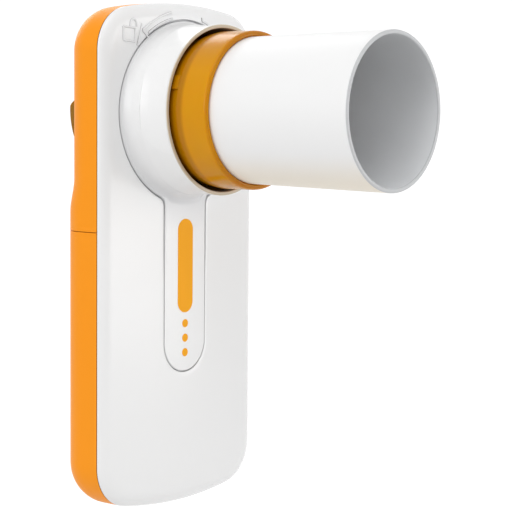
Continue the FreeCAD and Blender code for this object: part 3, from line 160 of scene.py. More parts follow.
class MeterColours(bpy.types.PropertyGroup):
    """Colours of the finishes."""
    white: colour("White", (0.90, 0.90, 0.90), "Moulded white of the front")
    tube_white: colour("Tube white", (0.92, 0.92, 0.92), "White of the mouthpiece")
    orange: colour("Orange", (1.0, 0.335, 0.012), "Orange of the rear cover")
    mark: colour("Mark", (1.0, 0.43, 0.010), "Yellower orange of the print on the strip")
    amber: colour("Amber", (0.72, 0.31, 0.0), "Amber of the turbine")
    # Painted shade on the amber from near the ring's back edge rearwards, into the neck
    amber_neck_shade: colour("Dark amber", (0.42, 0.155, 0.0), "Amber where more plastic lies behind it")
    # Painted shade inside the mouthpiece and painted grey on its cut end
    tube_inside_shade: colour("Tube inside", (0.62, 0.63, 0.64), "Duller inside and cut end of the mouthpiece")
    # Painted warm bounce light from the amber ring under the mouthpiece
    tube_bounce_light: colour("Tube underside", (0.92, 0.79, 0.57), "Warm tint below the mouthpiece")
    # Painted shade in the orange covers' gaps and round the side button and the light
    orange_gap_shade: colour("Dark orange", (0.12, 0.03, 0.002), "Depth of the gaps in the orange covers")
    # Painted shade on the amber ring's top, bottom and front edge
    amber_edge_shade: colour("Amber edge", (0.52, 0.19, 0.004), "Amber seen edge on and at the ring's front")
    amber_lobes: colour("Amber lobes", (0.30, 0.15, 0.012), "Amber of the thick finger lobes")
    shade: colour("Shade", (0.74, 0.74, 0.75), "Shaded line round the neck insert")
    deep: colour("Deep shade", (0.06, 0.035, 0.012), "Depth of the parting lines and of the neck's bore")
    lip: colour("Lip", (0.56, 0.45, 0.27), "Cream edge of the neck's lip, lit through the amber")
    backdrop: colour("Backdrop", (0.74, 0.74, 0.74), "Floor and backdrop")


def size(name):
    """One of the sizes, in millimetres."""
    return getattr(bpy.context.scene.meter_sizes, name) / MM


def paint(name):
    """One of the colours."""
    return tuple(getattr(bpy.context.scene.meter_colours, name))


def smooth(value):
    """The value kept between 0 and 1 and eased at both ends."""
    part = np.clip(value, 0, 1)
    return part * part * (3 - 2 * part)


def edge_distance(x, z):
    """Distance inwards from the body's outline: the nearest of the straight side, the arched end (a large
    circle about a point on the middle line) and, in a corner's own wedge, the corner's circle."""
    ax, az = np.abs(x), np.abs(z)
    half, rise, corner = size("half_width"), size("end_rise"), size("corner")
    arch = (half ** 2 + rise ** 2) / (2 * rise)
    arch_z = size("half_height") - arch
    reach = arch - corner
    cx = half - corner
    cz = arch_z + math.sqrt(reach ** 2 - cx ** 2)
    nx, nz = cx / reach, (cz - arch_z) / reach
    plain = np.minimum(half - ax, arch - np.hypot(ax, az - arch_z))
    vx, vz = ax - cx, az - cz
    wedge = (vz > 0) & (vx * nz - vz * nx > 0)
    return np.where(wedge, corner - np.hypot(vx, vz), plain)


def outline_reach(start_z, dx, dz, inset=0.0):
    """Distance from the middle line along a direction to the outline drawn in by the inset, by halving."""
    low = np.zeros_like(start_z + dx)
    high = np.full_like(low, 130.0)
    for _ in range(44):
        middle = (low + high) / 2
        inside = edge_distance(dx * middle, start_z + dz * middle) > inset
        low = np.where(inside, middle, low)
        high = np.where(inside, high, middle)
    return (low + high) / 2


def outline_point(ray, inset):
    """Place (x, z) where each ray meets the outline drawn in by the inset."""
    start_z, dx, dz = ray
    far = outline_reach(start_z, dx, dz, max(inset, 1e-4))
    return np.array([dx * far, start_z + dz * far])


def face_y(x):
    """Depth of the crowned face: a circle's arc across the body, highest in the middle."""
    half, crown = size("half_width"), size("crown")
    radius = (half ** 2 + crown ** 2) / (2 * crown)
    top = -(size("edge_depth") + crown)
    return top + radius - np.sqrt(radius ** 2 - x ** 2)


def back_level(z):
    """Depth of the flat back: a step with a double curve lies between the door and the upper part."""
    high, low = size("upper_depth"), size("lower_depth")
    return low + (high - low) * smooth((z - RAMP_Z) / RAMP)


def back_y(x, z, inset=0.0):
    """Depth of the back, drawn in by the inset: flat with a quarter-round edge. The dish at the outlet
    is a cone of 45 degrees."""
    radius = size("back_round") - inset
    part = np.clip(radius + inset - edge_distance(x, z), 0, radius)
    level = back_level(z) - size("back_round") + np.sqrt(radius ** 2 - part ** 2)
    cone = size("upper_depth") - size("dish") + np.hypot(x, z - AIRWAY_Z) - size("outlet")
    return level if inset else np.minimum(level, cone)


def spine_order(x, z, high_z, low_z):
    """Order of a point round the right half of a shape: 0 at the top, 1 to 2 down the side, 3 at the foot."""
    top = np.arctan2(x, np.maximum(z - high_z, 0)) / QUARTER
    side = 1 + (high_z - z) / (high_z - low_z)
    foot = 2 + np.arctan2(np.maximum(low_z - z, 0), x) / QUARTER
    return np.where(z > high_z, top, np.where(z < low_z, foot, side))


def spine_ray(order, high_z, low_z):
    """Start on the spine and direction of the ray with that order."""
    top = np.clip(order, 0, 1) * QUARTER
    foot = np.clip(order - 2, 0, 1) * QUARTER
    start_z = high_z + (low_z - high_z) * np.clip(order - 1, 0, 1)
    dx = np.where(order < 1, np.sin(top), np.cos(foot))
    dz = np.where(order < 1, np.cos(top), -np.sin(foot))
    return start_z, dx, dz


def bezel_reach(aim, grow=0.0):
    """Distance from the airway to the round part's edge in a direction: the ray meets a circle whose centre
    lies straight below the airway."""
    radius, drop = size("bezel") + grow, size("bezel_drop")
    return np.sqrt(radius ** 2 - (drop * np.cos(aim)) ** 2) - drop * np.sin(aim)


def fillet_heights(grow):
    """Heights at which the round part's edge meets its fillet and the fillet meets the strip."""
    radius, half, fillet = size("bezel") + grow, size("strip") + grow, FILLET - grow
    centre_z = AIRWAY_Z - size("bezel_drop")
    low_z = centre_z - np.sqrt((radius + fillet) ** 2 - (half + fillet) ** 2)
    return centre_z + (low_z - centre_z) * radius / (radius + fillet), low_z


def keyhole(order, grow):
    """Right half of the neck insert's outline at each order: a circle, a small fillet, a straight strip
    and its round end, all moved outwards by the growth."""
    radius, half, fillet = size("bezel") + grow, size("strip") + grow, FILLET - grow
    start_z, dx, dz = spine_ray(order, AIRWAY_Z, SPINE_LOW_Z)
    meet_z, fillet_z = fillet_heights(grow)
    circle = np.sqrt(np.maximum(radius ** 2 - (start_z - AIRWAY_Z + size("bezel_drop")) ** 2, 0))
    bend = half + fillet - np.sqrt(np.maximum(fillet ** 2 - (start_z - fillet_z) ** 2, 0))
    side = np.where(start_z >= meet_z, circle, np.where(start_z > fillet_z, bend, half))
    reach = np.where(order < 1, bezel_reach(np.arctan2(dz, dx), grow), np.where(order > 2, half, side))
    return np.array([dx * reach, start_z + dz * reach])


def both_sides(right, ring):
    """Orders and sides all round from the orders of the right half: a ring runs on over the top and the
    foot, and otherwise the line starts and ends at the last order of either side."""
    if ring:
        return np.concatenate([right, right[-2:0:-1]]), np.repeat([1.0, -1.0], [len(right), len(right) - 2])
    return np.concatenate([right[:0:-1], right]), np.repeat([-1.0, 1.0], [len(right) - 1, len(right)])


def travelled(places):
    """Length of the path through places (x, z), up to each of them."""
    return np.concatenate([[0], np.cumsum(np.hypot(*np.diff(places)))])


def even_orders(count, high_z, low_z):
    """Orders at which the rays from a spine divide the body's outline into even steps."""
    aim = np.linspace(0, math.pi, 900)
    reach = outline_reach(0.0, np.sin(aim), np.cos(aim))
    far = np.array([np.sin(aim) * reach, np.cos(aim) * reach])
    travel = travelled(far)
    even = np.linspace(0, travel[-1], count)
    return spine_order(*(np.interp(even, travel, line) for line in far), high_z, low_z)


def level_orders(heights, high_z, low_z):
    """Orders of the level rays at some heights between the ends of a spine."""
    return 1 + (high_z - np.asarray(heights)) / (high_z - low_z)


def insert_orders():
    """Orders at which both the neck insert and the body's outline are well divided."""
    turn = np.linspace(0, math.pi, 200)
    near_x = size("bezel") * np.sin(turn)
    near_z = AIRWAY_Z - size("bezel_drop") + size("bezel") * np.cos(turn)
    keep = near_z > 12.0
    near = spine_order(near_x[keep], near_z[keep], AIRWAY_Z, SPINE_LOW_Z)
    strip_z = np.concatenate([np.linspace(15.0, 9.0, 40), np.linspace(9.0, SPINE_LOW_Z, 24)])
    parts = [[0.0, 1.0, 2.0, 3.0], near, level_orders(strip_z, AIRWAY_Z, SPINE_LOW_Z),
             2 + np.linspace(0, 1, 50), even_orders(260, AIRWAY_Z, SPINE_LOW_Z)]
    return np.unique(np.round(np.concatenate(parts), 5))


def spot(x, y, z):
    """Stack of coordinate arrays as points."""
    x, y, z = np.broadcast_arrays(x, y, z)
    return np.stack([x, y, z], axis=-1)


def behind(place, drop=0.0):
    """Points at a place (x, z), some way behind the crowned face."""
    x, z = place
    return spot(x, face_y(x) + drop, z)


def between(start, end, count):
    """Evenly spaced places on the line from start to end, with both."""
    return [start + (end - start) * part for part in np.linspace(0, 1, count)]


def about_airway(radius, turn):
    """Place (x, z) at a distance from the airway, in a direction."""
    return np.array([radius * np.cos(turn), AIRWAY_Z + radius * np.sin(turn)])


def from_airway(points):
    """Distance of points from the airway."""
    return np.hypot(points[:, 0], points[:, 2] - AIRWAY_Z)


def sunk(points):
    """How far points lie behind the crowned face."""
    return points[:, 1] - face_y(points[:, 0])


def grid_faces(rows, columns, closed, start):
    """Quads of a grid of points; a closed grid joins its last column to its first."""
    across = columns if closed else columns - 1
    r, c = np.meshgrid(np.arange(rows - 1), np.arange(across), indexing="ij")
    n = (c + 1) % columns
    quads = np.stack([r * columns + c, r * columns + n, (r + 1) * columns + n, (r + 1) * columns + c], axis=-1)
    return quads.reshape(-1, 4) + start


def moulding(name, patches, body, slot, replaces=(), groove=None, angle=35.0):
    """Make one piece from grids of points in millimetres, given as (points, closed) pairs.

    Points that meet are welded, which closes seams and poles, and the faces are turned outwards. The shade
    function, if any, gives for each point how much painted shade its colour takes."""
    points, faces, start = [], [], 0
    for grid, closed in patches:
        rows, columns = grid.shape[:2]
        points.append(grid.reshape(-1, 3))
        faces.append(grid_faces(rows, columns, closed, start))
        start += rows * columns
    placed = (np.concatenate(points) - (0, BACK_Y, 0)) * MM
    mesh = bpy.data.meshes.new(name)
    mesh.from_pydata(placed.tolist(), [], np.concatenate(faces).tolist())
    form = bmesh.new()
    form.from_mesh(mesh)
    bmesh.ops.remove_doubles(form, verts=form.verts, dist=2e-7)
    bmesh.ops.dissolve_degenerate(form, edges=form.edges, dist=1e-8)
    bmesh.ops.recalc_face_normals(form, faces=form.faces)
    form.to_mesh(mesh)
    form.free()
    places = np.empty(3 * len(mesh.vertices))
    mesh.vertices.foreach_get("co", places)
    places = places.reshape(-1, 3) / MM + (0, BACK_Y, 0)
    # How much painted shade each point takes, stored on the points for the finishes to read
    depth = np.zeros(len(places)) if groove is None else groove(places)
    mesh.attributes.new("groove", "FLOAT", "POINT").data.foreach_set("value", depth.astype(np.float32))
    mesh.shade_smooth()
    mesh.set_sharp_from_angle(angle=math.radians(angle))
    piece = bpy.data.objects.new(name, mesh)
    bpy.context.scene.collection.objects.link(piece)
    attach(piece, body)
    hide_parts(*replaces)
    return dress(piece, slot)


def capped(grid):
    """The grid with a further column at each end, in which all rows meet at the end's mean point."""
    middle = np.broadcast_to(grid.mean(axis=0), grid.shape)
    return np.concatenate([middle[:, :1], grid, middle[:, -1:]], axis=1), False


def turned(profile, steps=192, centre_x=0.0, centre_z=AIRWAY_Z):
    """Surface of revolution about a line along Y: each (radius, y) point of the profile runs round a circle."""
    profile = np.array(profile, float)
    turn = np.linspace(0, 2 * math.pi, steps, endpoint=False)
    radius, y = profile[:, 0][:, None], profile[:, 1][:, None]
    return spot(centre_x + radius * np.cos(turn), y + 0 * turn, centre_z + radius * np.sin(turn)), True


def arc(cx, cy, radius, start, end, steps):
    """Points of a circle's arc in the (radius, y) plane, between two angles in degrees."""
    turn = np.radians(np.linspace(start, end, steps))
    return list(zip(cx + radius * np.cos(turn), cy + radius * np.sin(turn)))


def drawn(profile, *stops):
    """The profile led on to each stop (radius, y, steps) in that many even steps."""
    for radius, y, steps in stops:
        profile = profile + between(np.array(profile[-1]), np.array([radius, y]), steps + 1)[1:]
    return profile


# Finishes

class Socket:
    """A shader value that can be used in plain arithmetic."""

    def __init__(self, finish, link):
        self.finish = finish
        self.link = link

    def math(self, operation, *others, first=None):
        """A Math node on this value and the others; a first value comes before this one."""
        values = (self, *others) if first is None else (first, self)
        node = self.finish.add("ShaderNodeMath", dict(enumerate(values)), operation=operation)
        return Socket(self.finish, node.outputs[0])

    def __add__(self, other):
        return self.math("ADD", other)

    def __sub__(self, other):
        return self.math("SUBTRACT", other)

    def __mul__(self, other):
        return self.math("MULTIPLY", other)

    def __truediv__(self, other):
        return self.math("DIVIDE", other)

    def __radd__(self, other):
        return self.math("ADD", first=other)

    def __rsub__(self, other):
        return self.math("SUBTRACT", first=other)

    def __rmul__(self, other):
        return self.math("MULTIPLY", first=other)

    def __abs__(self):
        return self.math("ABSOLUTE")

    def clamp(self):
        """The value kept between 0 and 1."""
        node = self.finish.add("ShaderNodeClamp", {0: self, 1: 0.0, 2: 1.0})
        return Socket(self.finish, node.outputs[0])

    def step(self, start, end):
        """0 before the start, 1 past the end and a smooth rise between them; either may be the lower."""
        node = self.finish.add("ShaderNodeMapRange", {0: self, 1: start, 2: end, 3: 0.0, 4: 1.0},
                               interpolation_type="SMOOTHSTEP")
        return Socket(self.finish, node.outputs[0])


class Graph:
    """A node tree that is filled by plain expressions."""

    def __init__(self, tree):
        self.tree = tree

    def add(self, kind, sockets=None, **settings):
        """Add a node, set its properties, then set or link its sockets."""
        node = self.tree.nodes.new(kind)
        for key, value in settings.items():
            setattr(node, key, value)
        for key, value in (sockets or {}).items():
            if isinstance(value, Socket):
                self.tree.links.new(value.link, node.inputs[key])
            else:
                node.inputs[key].default_value = value
        return node

    def background_seen(self):
        """1 for rays that come from the camera, a mirror or clear plastic, and 0 for light on the object."""
        path = self.add("ShaderNodeLightPath")
        kinds = [Socket(self, path.outputs[name]) for name in
                 ("Is Camera Ray", "Is Glossy Ray", "Is Transmission Ray")]
        return (kinds[0] + kinds[1] + kinds[2]).clamp()


class Finish(Graph):
    """One material: a Principled shader and the nodes that vary it over the surface."""

    def __init__(self, name, **constants):
        self.material = bpy.data.materials.new(name)
        self.material.use_nodes = True
        super().__init__(self.material.node_tree)
        self.shader = self.tree.nodes["Principled BSDF"]
        for key, value in constants.items():
            self.shader.inputs[key.replace("_", " ")].default_value = value
        self.place = Socket(self, self.add("ShaderNodeTexCoord").outputs["Object"])

    def axis(self, letter):
        """One of the object coordinates, in millimetres."""
        node = self.add("ShaderNodeSeparateXYZ", {0: self.place})
        return Socket(self, node.outputs[letter]) * 1000.0

    def noise(self, scale, detail=3.0, roughness=0.5):
        """Cloudy noise from 0 to 1; the scale is in waves per metre."""
        node = self.add("ShaderNodeTexNoise", {"Vector": self.place, "Scale": scale, "Detail": detail,
                                               "Roughness": roughness})
        return Socket(self, node.outputs[0])

    def cloudy(self, amount, scale, tone, strength):
        """A colour with darker clouds of its own hue, and the clouds themselves."""
        cloud = self.noise(scale)
        return self.mix(cloud * strength, tone, tuple(c * amount for c in tone)), cloud

    def mix(self, factor, first, second):
        """Blend of two colours."""
        first = first if isinstance(first, Socket) else (*first, 1.0)
        second = second if isinstance(second, Socket) else (*second, 1.0)
        node = self.add("ShaderNodeMix", {0: factor, 6: first, 7: second}, data_type="RGBA")
        return Socket(self, node.outputs[2])

    def attribute(self, name):
        """A number stored on the piece's points."""
        node = self.add("ShaderNodeAttribute", attribute_name=name)
        return Socket(self, node.outputs["Fac"])

    def feed(self, **sockets):
        """Link values to the shader's inputs."""
        for key, value in sockets.items():
            self.tree.links.new(value.link, self.shader.inputs[key.replace("_", " ")])
        return self

    def bump(self, height, distance, strength=1.0):
        """Feed a height to the normal; the distance is in metres."""
        node = self.add("ShaderNodeBump", {"Height": height, "Distance": distance, "Strength": strength})
        return self.feed(Normal=Socket(self, node.outputs[0]))


def white_gloss():
    """Soft white moulding: near white, a faint cloudiness, an orange-peel sheen, painted cream light on the
    neck's lip, and painted shade in gaps, coves and the bore, and on the parting line.
    """
    f = Finish("white_gloss", Coat_Weight=0.15, Coat_Roughness=0.12, IOR=1.46)
    lip_y = size("lip_y") - BACK_Y
    base, cloud = f.cloudy(0.95, 60.0, paint("white"), 0.25)
    # Painted cream light on the neck's lip, as if lit through the amber
    base = f.mix(f.axis("Y").step(lip_y + 0.35, lip_y + 0.05) * 0.8, base, paint("lip"))
    # Painted shade from the pieces: grey shade up to 1, and deep shade from 1 to 2
    gap = f.attribute("groove")
    base = f.mix((gap - 1.0).clamp(), f.mix(gap.clamp(), base, paint("shade")), paint("deep"))
    f.feed(Base_Color=base, Roughness=0.20 + cloud * 0.10)
    f.bump(f.noise(900.0, 2.0), 0.00002, 0.25)
    return f.material


def white_satin():
    """Extruded white tube: fine rings left by the die, a satin surface, painted shade inside that is darker
    towards the top, a painted grey cut end and painted warm bounce light from the amber ring underneath.
    """
    f = Finish("white_satin", IOR=1.46)
    y, height = f.axis("Y"), f.axis("Z") - AIRWAY_Z
    end, inside = size("tube_end") - BACK_Y, f.attribute("groove")
    rings = f.add("ShaderNodeTexNoise", {"W": y, "Scale": 0.9, "Detail": 2.0}, noise_dimensions="1D")
    base, cloud = f.cloudy(0.96, 40.0, paint("tube_white"), 0.2)
    # Painted shade inside the tube: a lit copy of the inside colour at the bottom, darker towards the top
    lit = tuple(c * 1.38 for c in paint("tube_inside_shade"))
    base = f.mix(inside, base, f.mix(height.step(-3.6, 14.4), lit, paint("tube_inside_shade")))
    # Painted warm bounce light from the amber ring on the outside of the tube's underside
    base = f.mix(height.step(-7.6, -16.1) * (1.0 - inside) * 0.6, base, paint("tube_bounce_light"))
    # Painted grey shade on the free cut end
    base = f.mix(y.step(end + 0.4, end + 0.2), base, tuple(c * 0.95 for c in paint("tube_inside_shade")))
    f.feed(Base_Color=base, Roughness=0.34 + cloud * 0.12)
    f.bump(Socket(f, rings.outputs[0]), 0.00002, 0.2)
    return f.material


def orange_gloss(name="orange_shell", tint="orange"):
    """Orange moulding: a saturated base with a faint depth of colour, fine grain, a soft gloss, and painted
    shade in the parting line and in rings round the side button and the light.
    """
    f = Finish(name, Specular_IOR_Level=0.14, IOR=1.46)
    cloud = f.noise(50.0)
    base = f.mix(cloud * 0.5, paint(tint), (paint(tint)[0] * 0.96, paint(tint)[1] * 0.90, 0.006))
    # Painted shade: dark rings on the right side round the button and the light
    side, across = f.axis("X").step(SIDE_X, SIDE_X + 1.0), f.axis("Y") - BUTTON_Y
    for centre_z, half, radius in OUTLINED:
        along = (abs(f.axis("Z") - centre_z) - half).math("MAXIMUM", 0.0)
        away = (across * across + along * along).math("SQRT")
        ring = away.step(radius - 0.1, radius) * away.step(radius + 0.3, radius + 0.2)
        base = f.mix(ring * side, base, paint("orange_gap_shade"))
    # Painted shade in the parting line
    base = f.mix(f.attribute("groove"), base, paint("orange_gap_shade"))
    f.feed(Base_Color=base, Roughness=0.36 + cloud * 0.14)
    f.bump(f.noise(2600.0, 2.0), 0.00003, 0.3)
    return f.material


def amber_clear():
    """Translucent amber: painted shade on the ring's top, bottom and front edge, painted shade from near
    the ring's back edge rearwards into the neck, and darker at the lobes."""
    f = Finish("amber_clear", Coat_Weight=0.05, Coat_Roughness=0.06, Specular_IOR_Level=0.12, IOR=1.5,
               Subsurface_Weight=0.35, Subsurface_Radius=(1.0, 0.45, 0.02), Subsurface_Scale=0.002)
    x, y, height = f.axis("X"), f.axis("Y"), f.axis("Z") - AIRWAY_Z
    ring_y = size("ring_front") - BACK_Y
    lobes = y.step(-6.0, -2.0) * (x * x + height * height).step(14.2 ** 2, 14.6 ** 2)
    # Painted shade on the ring's top and bottom and along its front edge
    edge_shade_mask = abs(height).step(7.0, 17.0) * 0.55 + y.step(ring_y + 0.7, ring_y + 0.1) * 0.45
    base, cloud = f.cloudy(0.88, 120.0, paint("amber"), 0.3)
    base = f.mix(edge_shade_mask.clamp(), base, paint("amber_edge_shade"))
    # Painted shade from near the ring's back edge rearwards, into the neck
    base = f.mix(y.step(ring_y + 6.0, ring_y + 7.2) * 0.75, base, paint("amber_neck_shade"))
    base = f.mix(lobes, base, paint("amber_lobes"))
    f.feed(Base_Color=base, Roughness=0.14 + cloud * 0.12)
    return f.material


PLAIN = {
    "grey_tray": ((0.30, 0.31, 0.32), (0.36, 0.37, 0.38), 0.55, 1200.0),
    "black_plastic": ((0.012, 0.012, 0.013), (0.03, 0.03, 0.032), 0.5, 1500.0),
    "spring_steel": ((0.60, 0.59, 0.56), (0.72, 0.71, 0.68), 0.28, 2500.0, 1.0),
    "screw_steel": ((0.45, 0.45, 0.46), (0.58, 0.58, 0.58), 0.35, 2500.0, 1.0),
    "axle_steel": ((0.66, 0.66, 0.67), (0.75, 0.75, 0.76), 0.2, 3000.0, 1.0),
    "bearing_brass": ((0.68, 0.48, 0.18), (0.78, 0.58, 0.26), 0.3, 2500.0, 1.0),
    "radio_can": ((0.58, 0.58, 0.56), (0.68, 0.68, 0.66), 0.35, 900.0, 1.0),
    "rotor_dark": ((0.02, 0.02, 0.022), (0.045, 0.045, 0.05), 0.4, 1800.0),
    "infrared_dark": ((0.02, 0.008, 0.03), (0.035, 0.015, 0.05), 0.15, 900.0),
}


def plain(name, base, second, roughness, scale, metallic=0.0):
    """Finish of a small inner piece: two close tones in a fine grain, and a matching roughness."""
    f = Finish(name, Metallic=metallic)
    grain = f.noise(scale)
    f.feed(Base_Color=f.mix(grain, base, second), Roughness=roughness + (grain - 0.5) * 0.2)
    f.bump(grain, 0.00002, 0.4)
    return f.material


def board_green():
    """Circuit board: green lacquer over a net of fine tracks, with bare pads."""
    f = Finish("board_green", Coat_Weight=0.4, Coat_Roughness=0.2)
    bricks = {"Vector": f.place, "Scale": 260.0, "Mortar Size": 0.04, "Brick Width": 1.3, "Row Height": 0.45,
              "Color1": (0, 0, 0, 1), "Color2": (0, 0, 0, 1), "Mortar": (1, 1, 1, 1)}
    tracks = f.add("ShaderNodeTexBrick", bricks, offset=0.37, squash=1.4, squash_frequency=3)
    line = Socket(f, tracks.outputs[0])
    cells = f.add("ShaderNodeTexVoronoi", {"Vector": f.place, "Scale": 420.0})
    pad = 1.0 - Socket(f, cells.outputs[0]).step(0.12, 0.16)
    base = f.mix(line, (0.012, 0.11, 0.04), (0.03, 0.22, 0.08))
    base = f.mix(pad, base, (0.62, 0.52, 0.30))
    f.feed(Base_Color=base, Roughness=0.35 + pad * 0.1, Metallic=pad)
    f.bump(line, 0.00003, 0.5)
    return f.material


def cell_jacket():
    """Cell: a dark printed jacket with a lighter band at one end and bare metal at both faces."""
    f = Finish("cell_jacket", Coat_Weight=0.4, Coat_Roughness=0.1)
    z = f.axis("Z")
    band, bare = z.step(-12.2, -12.0), z.step(1.0, 1.05) + z.step(-45.25, -45.3)
    grain = f.noise(500.0)
    base = f.mix(band, (0.03, 0.035, 0.045), (0.50, 0.50, 0.52))
    base = f.mix(bare.clamp(), base, (0.66, 0.66, 0.64))
    f.feed(Base_Color=base, Roughness=0.25 + grain * 0.12, Metallic=(band * 0.4 + bare).clamp())
    return f.material


def clear_plastic():
    """Clear light pipe: pale, smooth and see-through."""
    f = Finish("clear_plastic", Transmission_Weight=0.6, IOR=1.49)
    grain = f.noise(300.0)
    f.feed(Base_Color=f.mix(grain, (0.82, 0.88, 0.90), (0.92, 0.95, 0.96)), Roughness=0.05 + grain * 0.08)
    return f.material


def finishes():
    """Every finish by the name of the record's material slot."""
    made = {"white_gloss": white_gloss(), "white_satin": white_satin(), "orange_shell": orange_gloss(),
            "orange_print": orange_gloss("orange_print", "mark"), "amber_clear": amber_clear(),
            "cell_jacket": cell_jacket(), "board_green": board_green(), "clear_plastic": clear_plastic()}
    return made | {name: plain(name, *values) for name, values in PLAIN.items()}


MADE = {}


def dress(piece, slot):
    """Give a piece the finish of a material slot."""
    if not MADE:
        MADE.update(finishes())
    piece.data.materials.clear()
    piece.data.materials.append(MADE[slot])
    return piece


# Pieces

class METER_OT_front_cover(bpy.types.Operator):
    """White front cover: crowned face with a soft edge, and a pocket for the neck insert."""
    bl_idname = "meter.front_cover"
    bl_label = "Front cover"

    def execute(self, context):
        """Each ray from the spine carries a closed profile: along the pocket's ledge, up its wall and edge,
        straight across the face, down a quarter of an ellipse to the parting line, out and in along the
        tongue, and back under the face."""
        orders, sides = both_sides(insert_orders(), True)
        radius, wall = size("front_round"), size("wall")
        ray = spine_ray(orders, AIRWAY_Z, SPINE_LOW_Z)
        gap = INSERT_GAP + 0.15 * np.clip((1.75 - orders) / 0.15, 0, 1)
        rim, lip, ledge = keyhole(orders, gap), keyhole(orders, gap + 0.15), keyhole(orders, -LEDGE)
        rows = [behind(ledge, wall), behind(ledge, 1.0), behind(rim, 1.0), behind(rim, 0.45), behind(rim, 0.15),
                behind((rim * 2 + lip) / 3, 0.035)]
        rows += [behind(place) for place in between(lip, outline_point(ray, radius), 26)]
        for turn in np.linspace(0, QUARTER, 19)[1:]:
            x, z = outline_point(ray, radius * (1 - math.sin(turn)))
            rows.append(spot(x, face_y(x) + (-SEAM - face_y(x)) * (1 - math.cos(turn)), z))
        tongue, foot, soft = wall + 0.15, -SEAM + 0.03, TONGUE_Y - 0.1
        for inset, y in ((0.10, foot), (0.45, foot), (0.55, foot), (tongue, foot), (tongue, soft),
                         (tongue + 0.1, TONGUE_Y), (RIM - 0.1, TONGUE_Y), (RIM, soft), (RIM, 0.0)):
            x, z = outline_point(ray, inset)
            rows.append(spot(x, y, z))
        rows += [behind(place, wall) for place in between(outline_point(ray, RIM), ledge, 12)]
        rows.append(rows[0])
        grid = np.array(rows)
        grid[..., 0] *= sides
        patches = [(grid, True)]
        for x, z, top in BOSSES:
            foot = float(face_y(x)) + wall / 2
            patches.append(turned([(0, foot), (BOSS, foot), (BOSS, top), (BOSS_HOLE, top), (BOSS_HOLE, top - 2),
                                   (0, top - 2)], 40, x, z))

        def groove(points):
            """2, for deep shade, in the parting line, and shaded in the gap round the neck insert."""
            inset = edge_distance(points[:, 0], points[:, 2])
            seam = (points[:, 1] > -0.2) & (inset > 0.05) & (inset < 0.5)
            gap = np.clip((sunk(points) - 0.1) / 0.2, 0, 1)
            return np.where(seam, 2.0, gap * (inset > RIM + 0.2))

        moulding("front_cover", patches, "case", "white_gloss", ["front_shell"], groove, 32)
        return {"FINISHED"}


def neck_profile():
    """Outer profile of the neck from its foot to its lip and down its bore, as (radius, y)."""
    foot_y = float(face_y(0.0))
    neck, cove, waist, lip, lip_y = size("neck"), size("cove"), size("waist"), size("lip"), size("lip_y")
    turn = np.linspace(0, QUARTER, 20)
    outer = list(zip(neck + cove * (1 - np.sin(turn)), foot_y - size("cove_length") * (1 - np.cos(turn))))
    top_y, low_y = lip_y + 0.3, foot_y - size("cove_length")
    part = np.linspace(0, 1, 26)[1:]
    bow = neck + (lip - neck) * part - 4 * part * (1 - part) * ((neck + lip) / 2 - waist)
    outer += list(zip(bow, low_y + (top_y - low_y) * part))
    outer += arc(lip - 0.3, top_y, 0.3, 0, -90, 6)[1:]
    wall = lip - 0.8
    inner = drawn([(wall + 0.12, lip_y)], (wall, lip_y + 0.12, 1), (wall, lip_y + 1.0, 2),
                  (BORE, lip_y + 2.6, 4), (BORE, BORE_Y, 6), (SEAT, BORE_Y, 1), (SEAT, SEAT_Y, 1))
    return np.array(outer), np.array(inner)


def scalloped(radius, y, turn):
    """Radius of the neck cut back by a shallow egg-shaped hollow on each side.

    The depth falls off as one less the square of the distance from the hollow's middle at the lip, in
    terms of its reach: far down the neck, half a quarter turn upwards and less downwards."""
    depth = 0.0
    for side in (1, -1):
        rise = np.degrees(np.arctan2(np.sin(turn), side * np.cos(turn)))
        across = np.where(rise > 0, rise / HOLLOW_UP, rise / HOLLOW_DOWN)
        along = (y - size("lip_y")) / HOLLOW_LENGTH
        depth = depth + np.maximum(1 - across ** 2 - along ** 2, 0)
    return radius - size("scallop") * depth * smooth((y - size("lip_y") - 0.15) / 0.7)


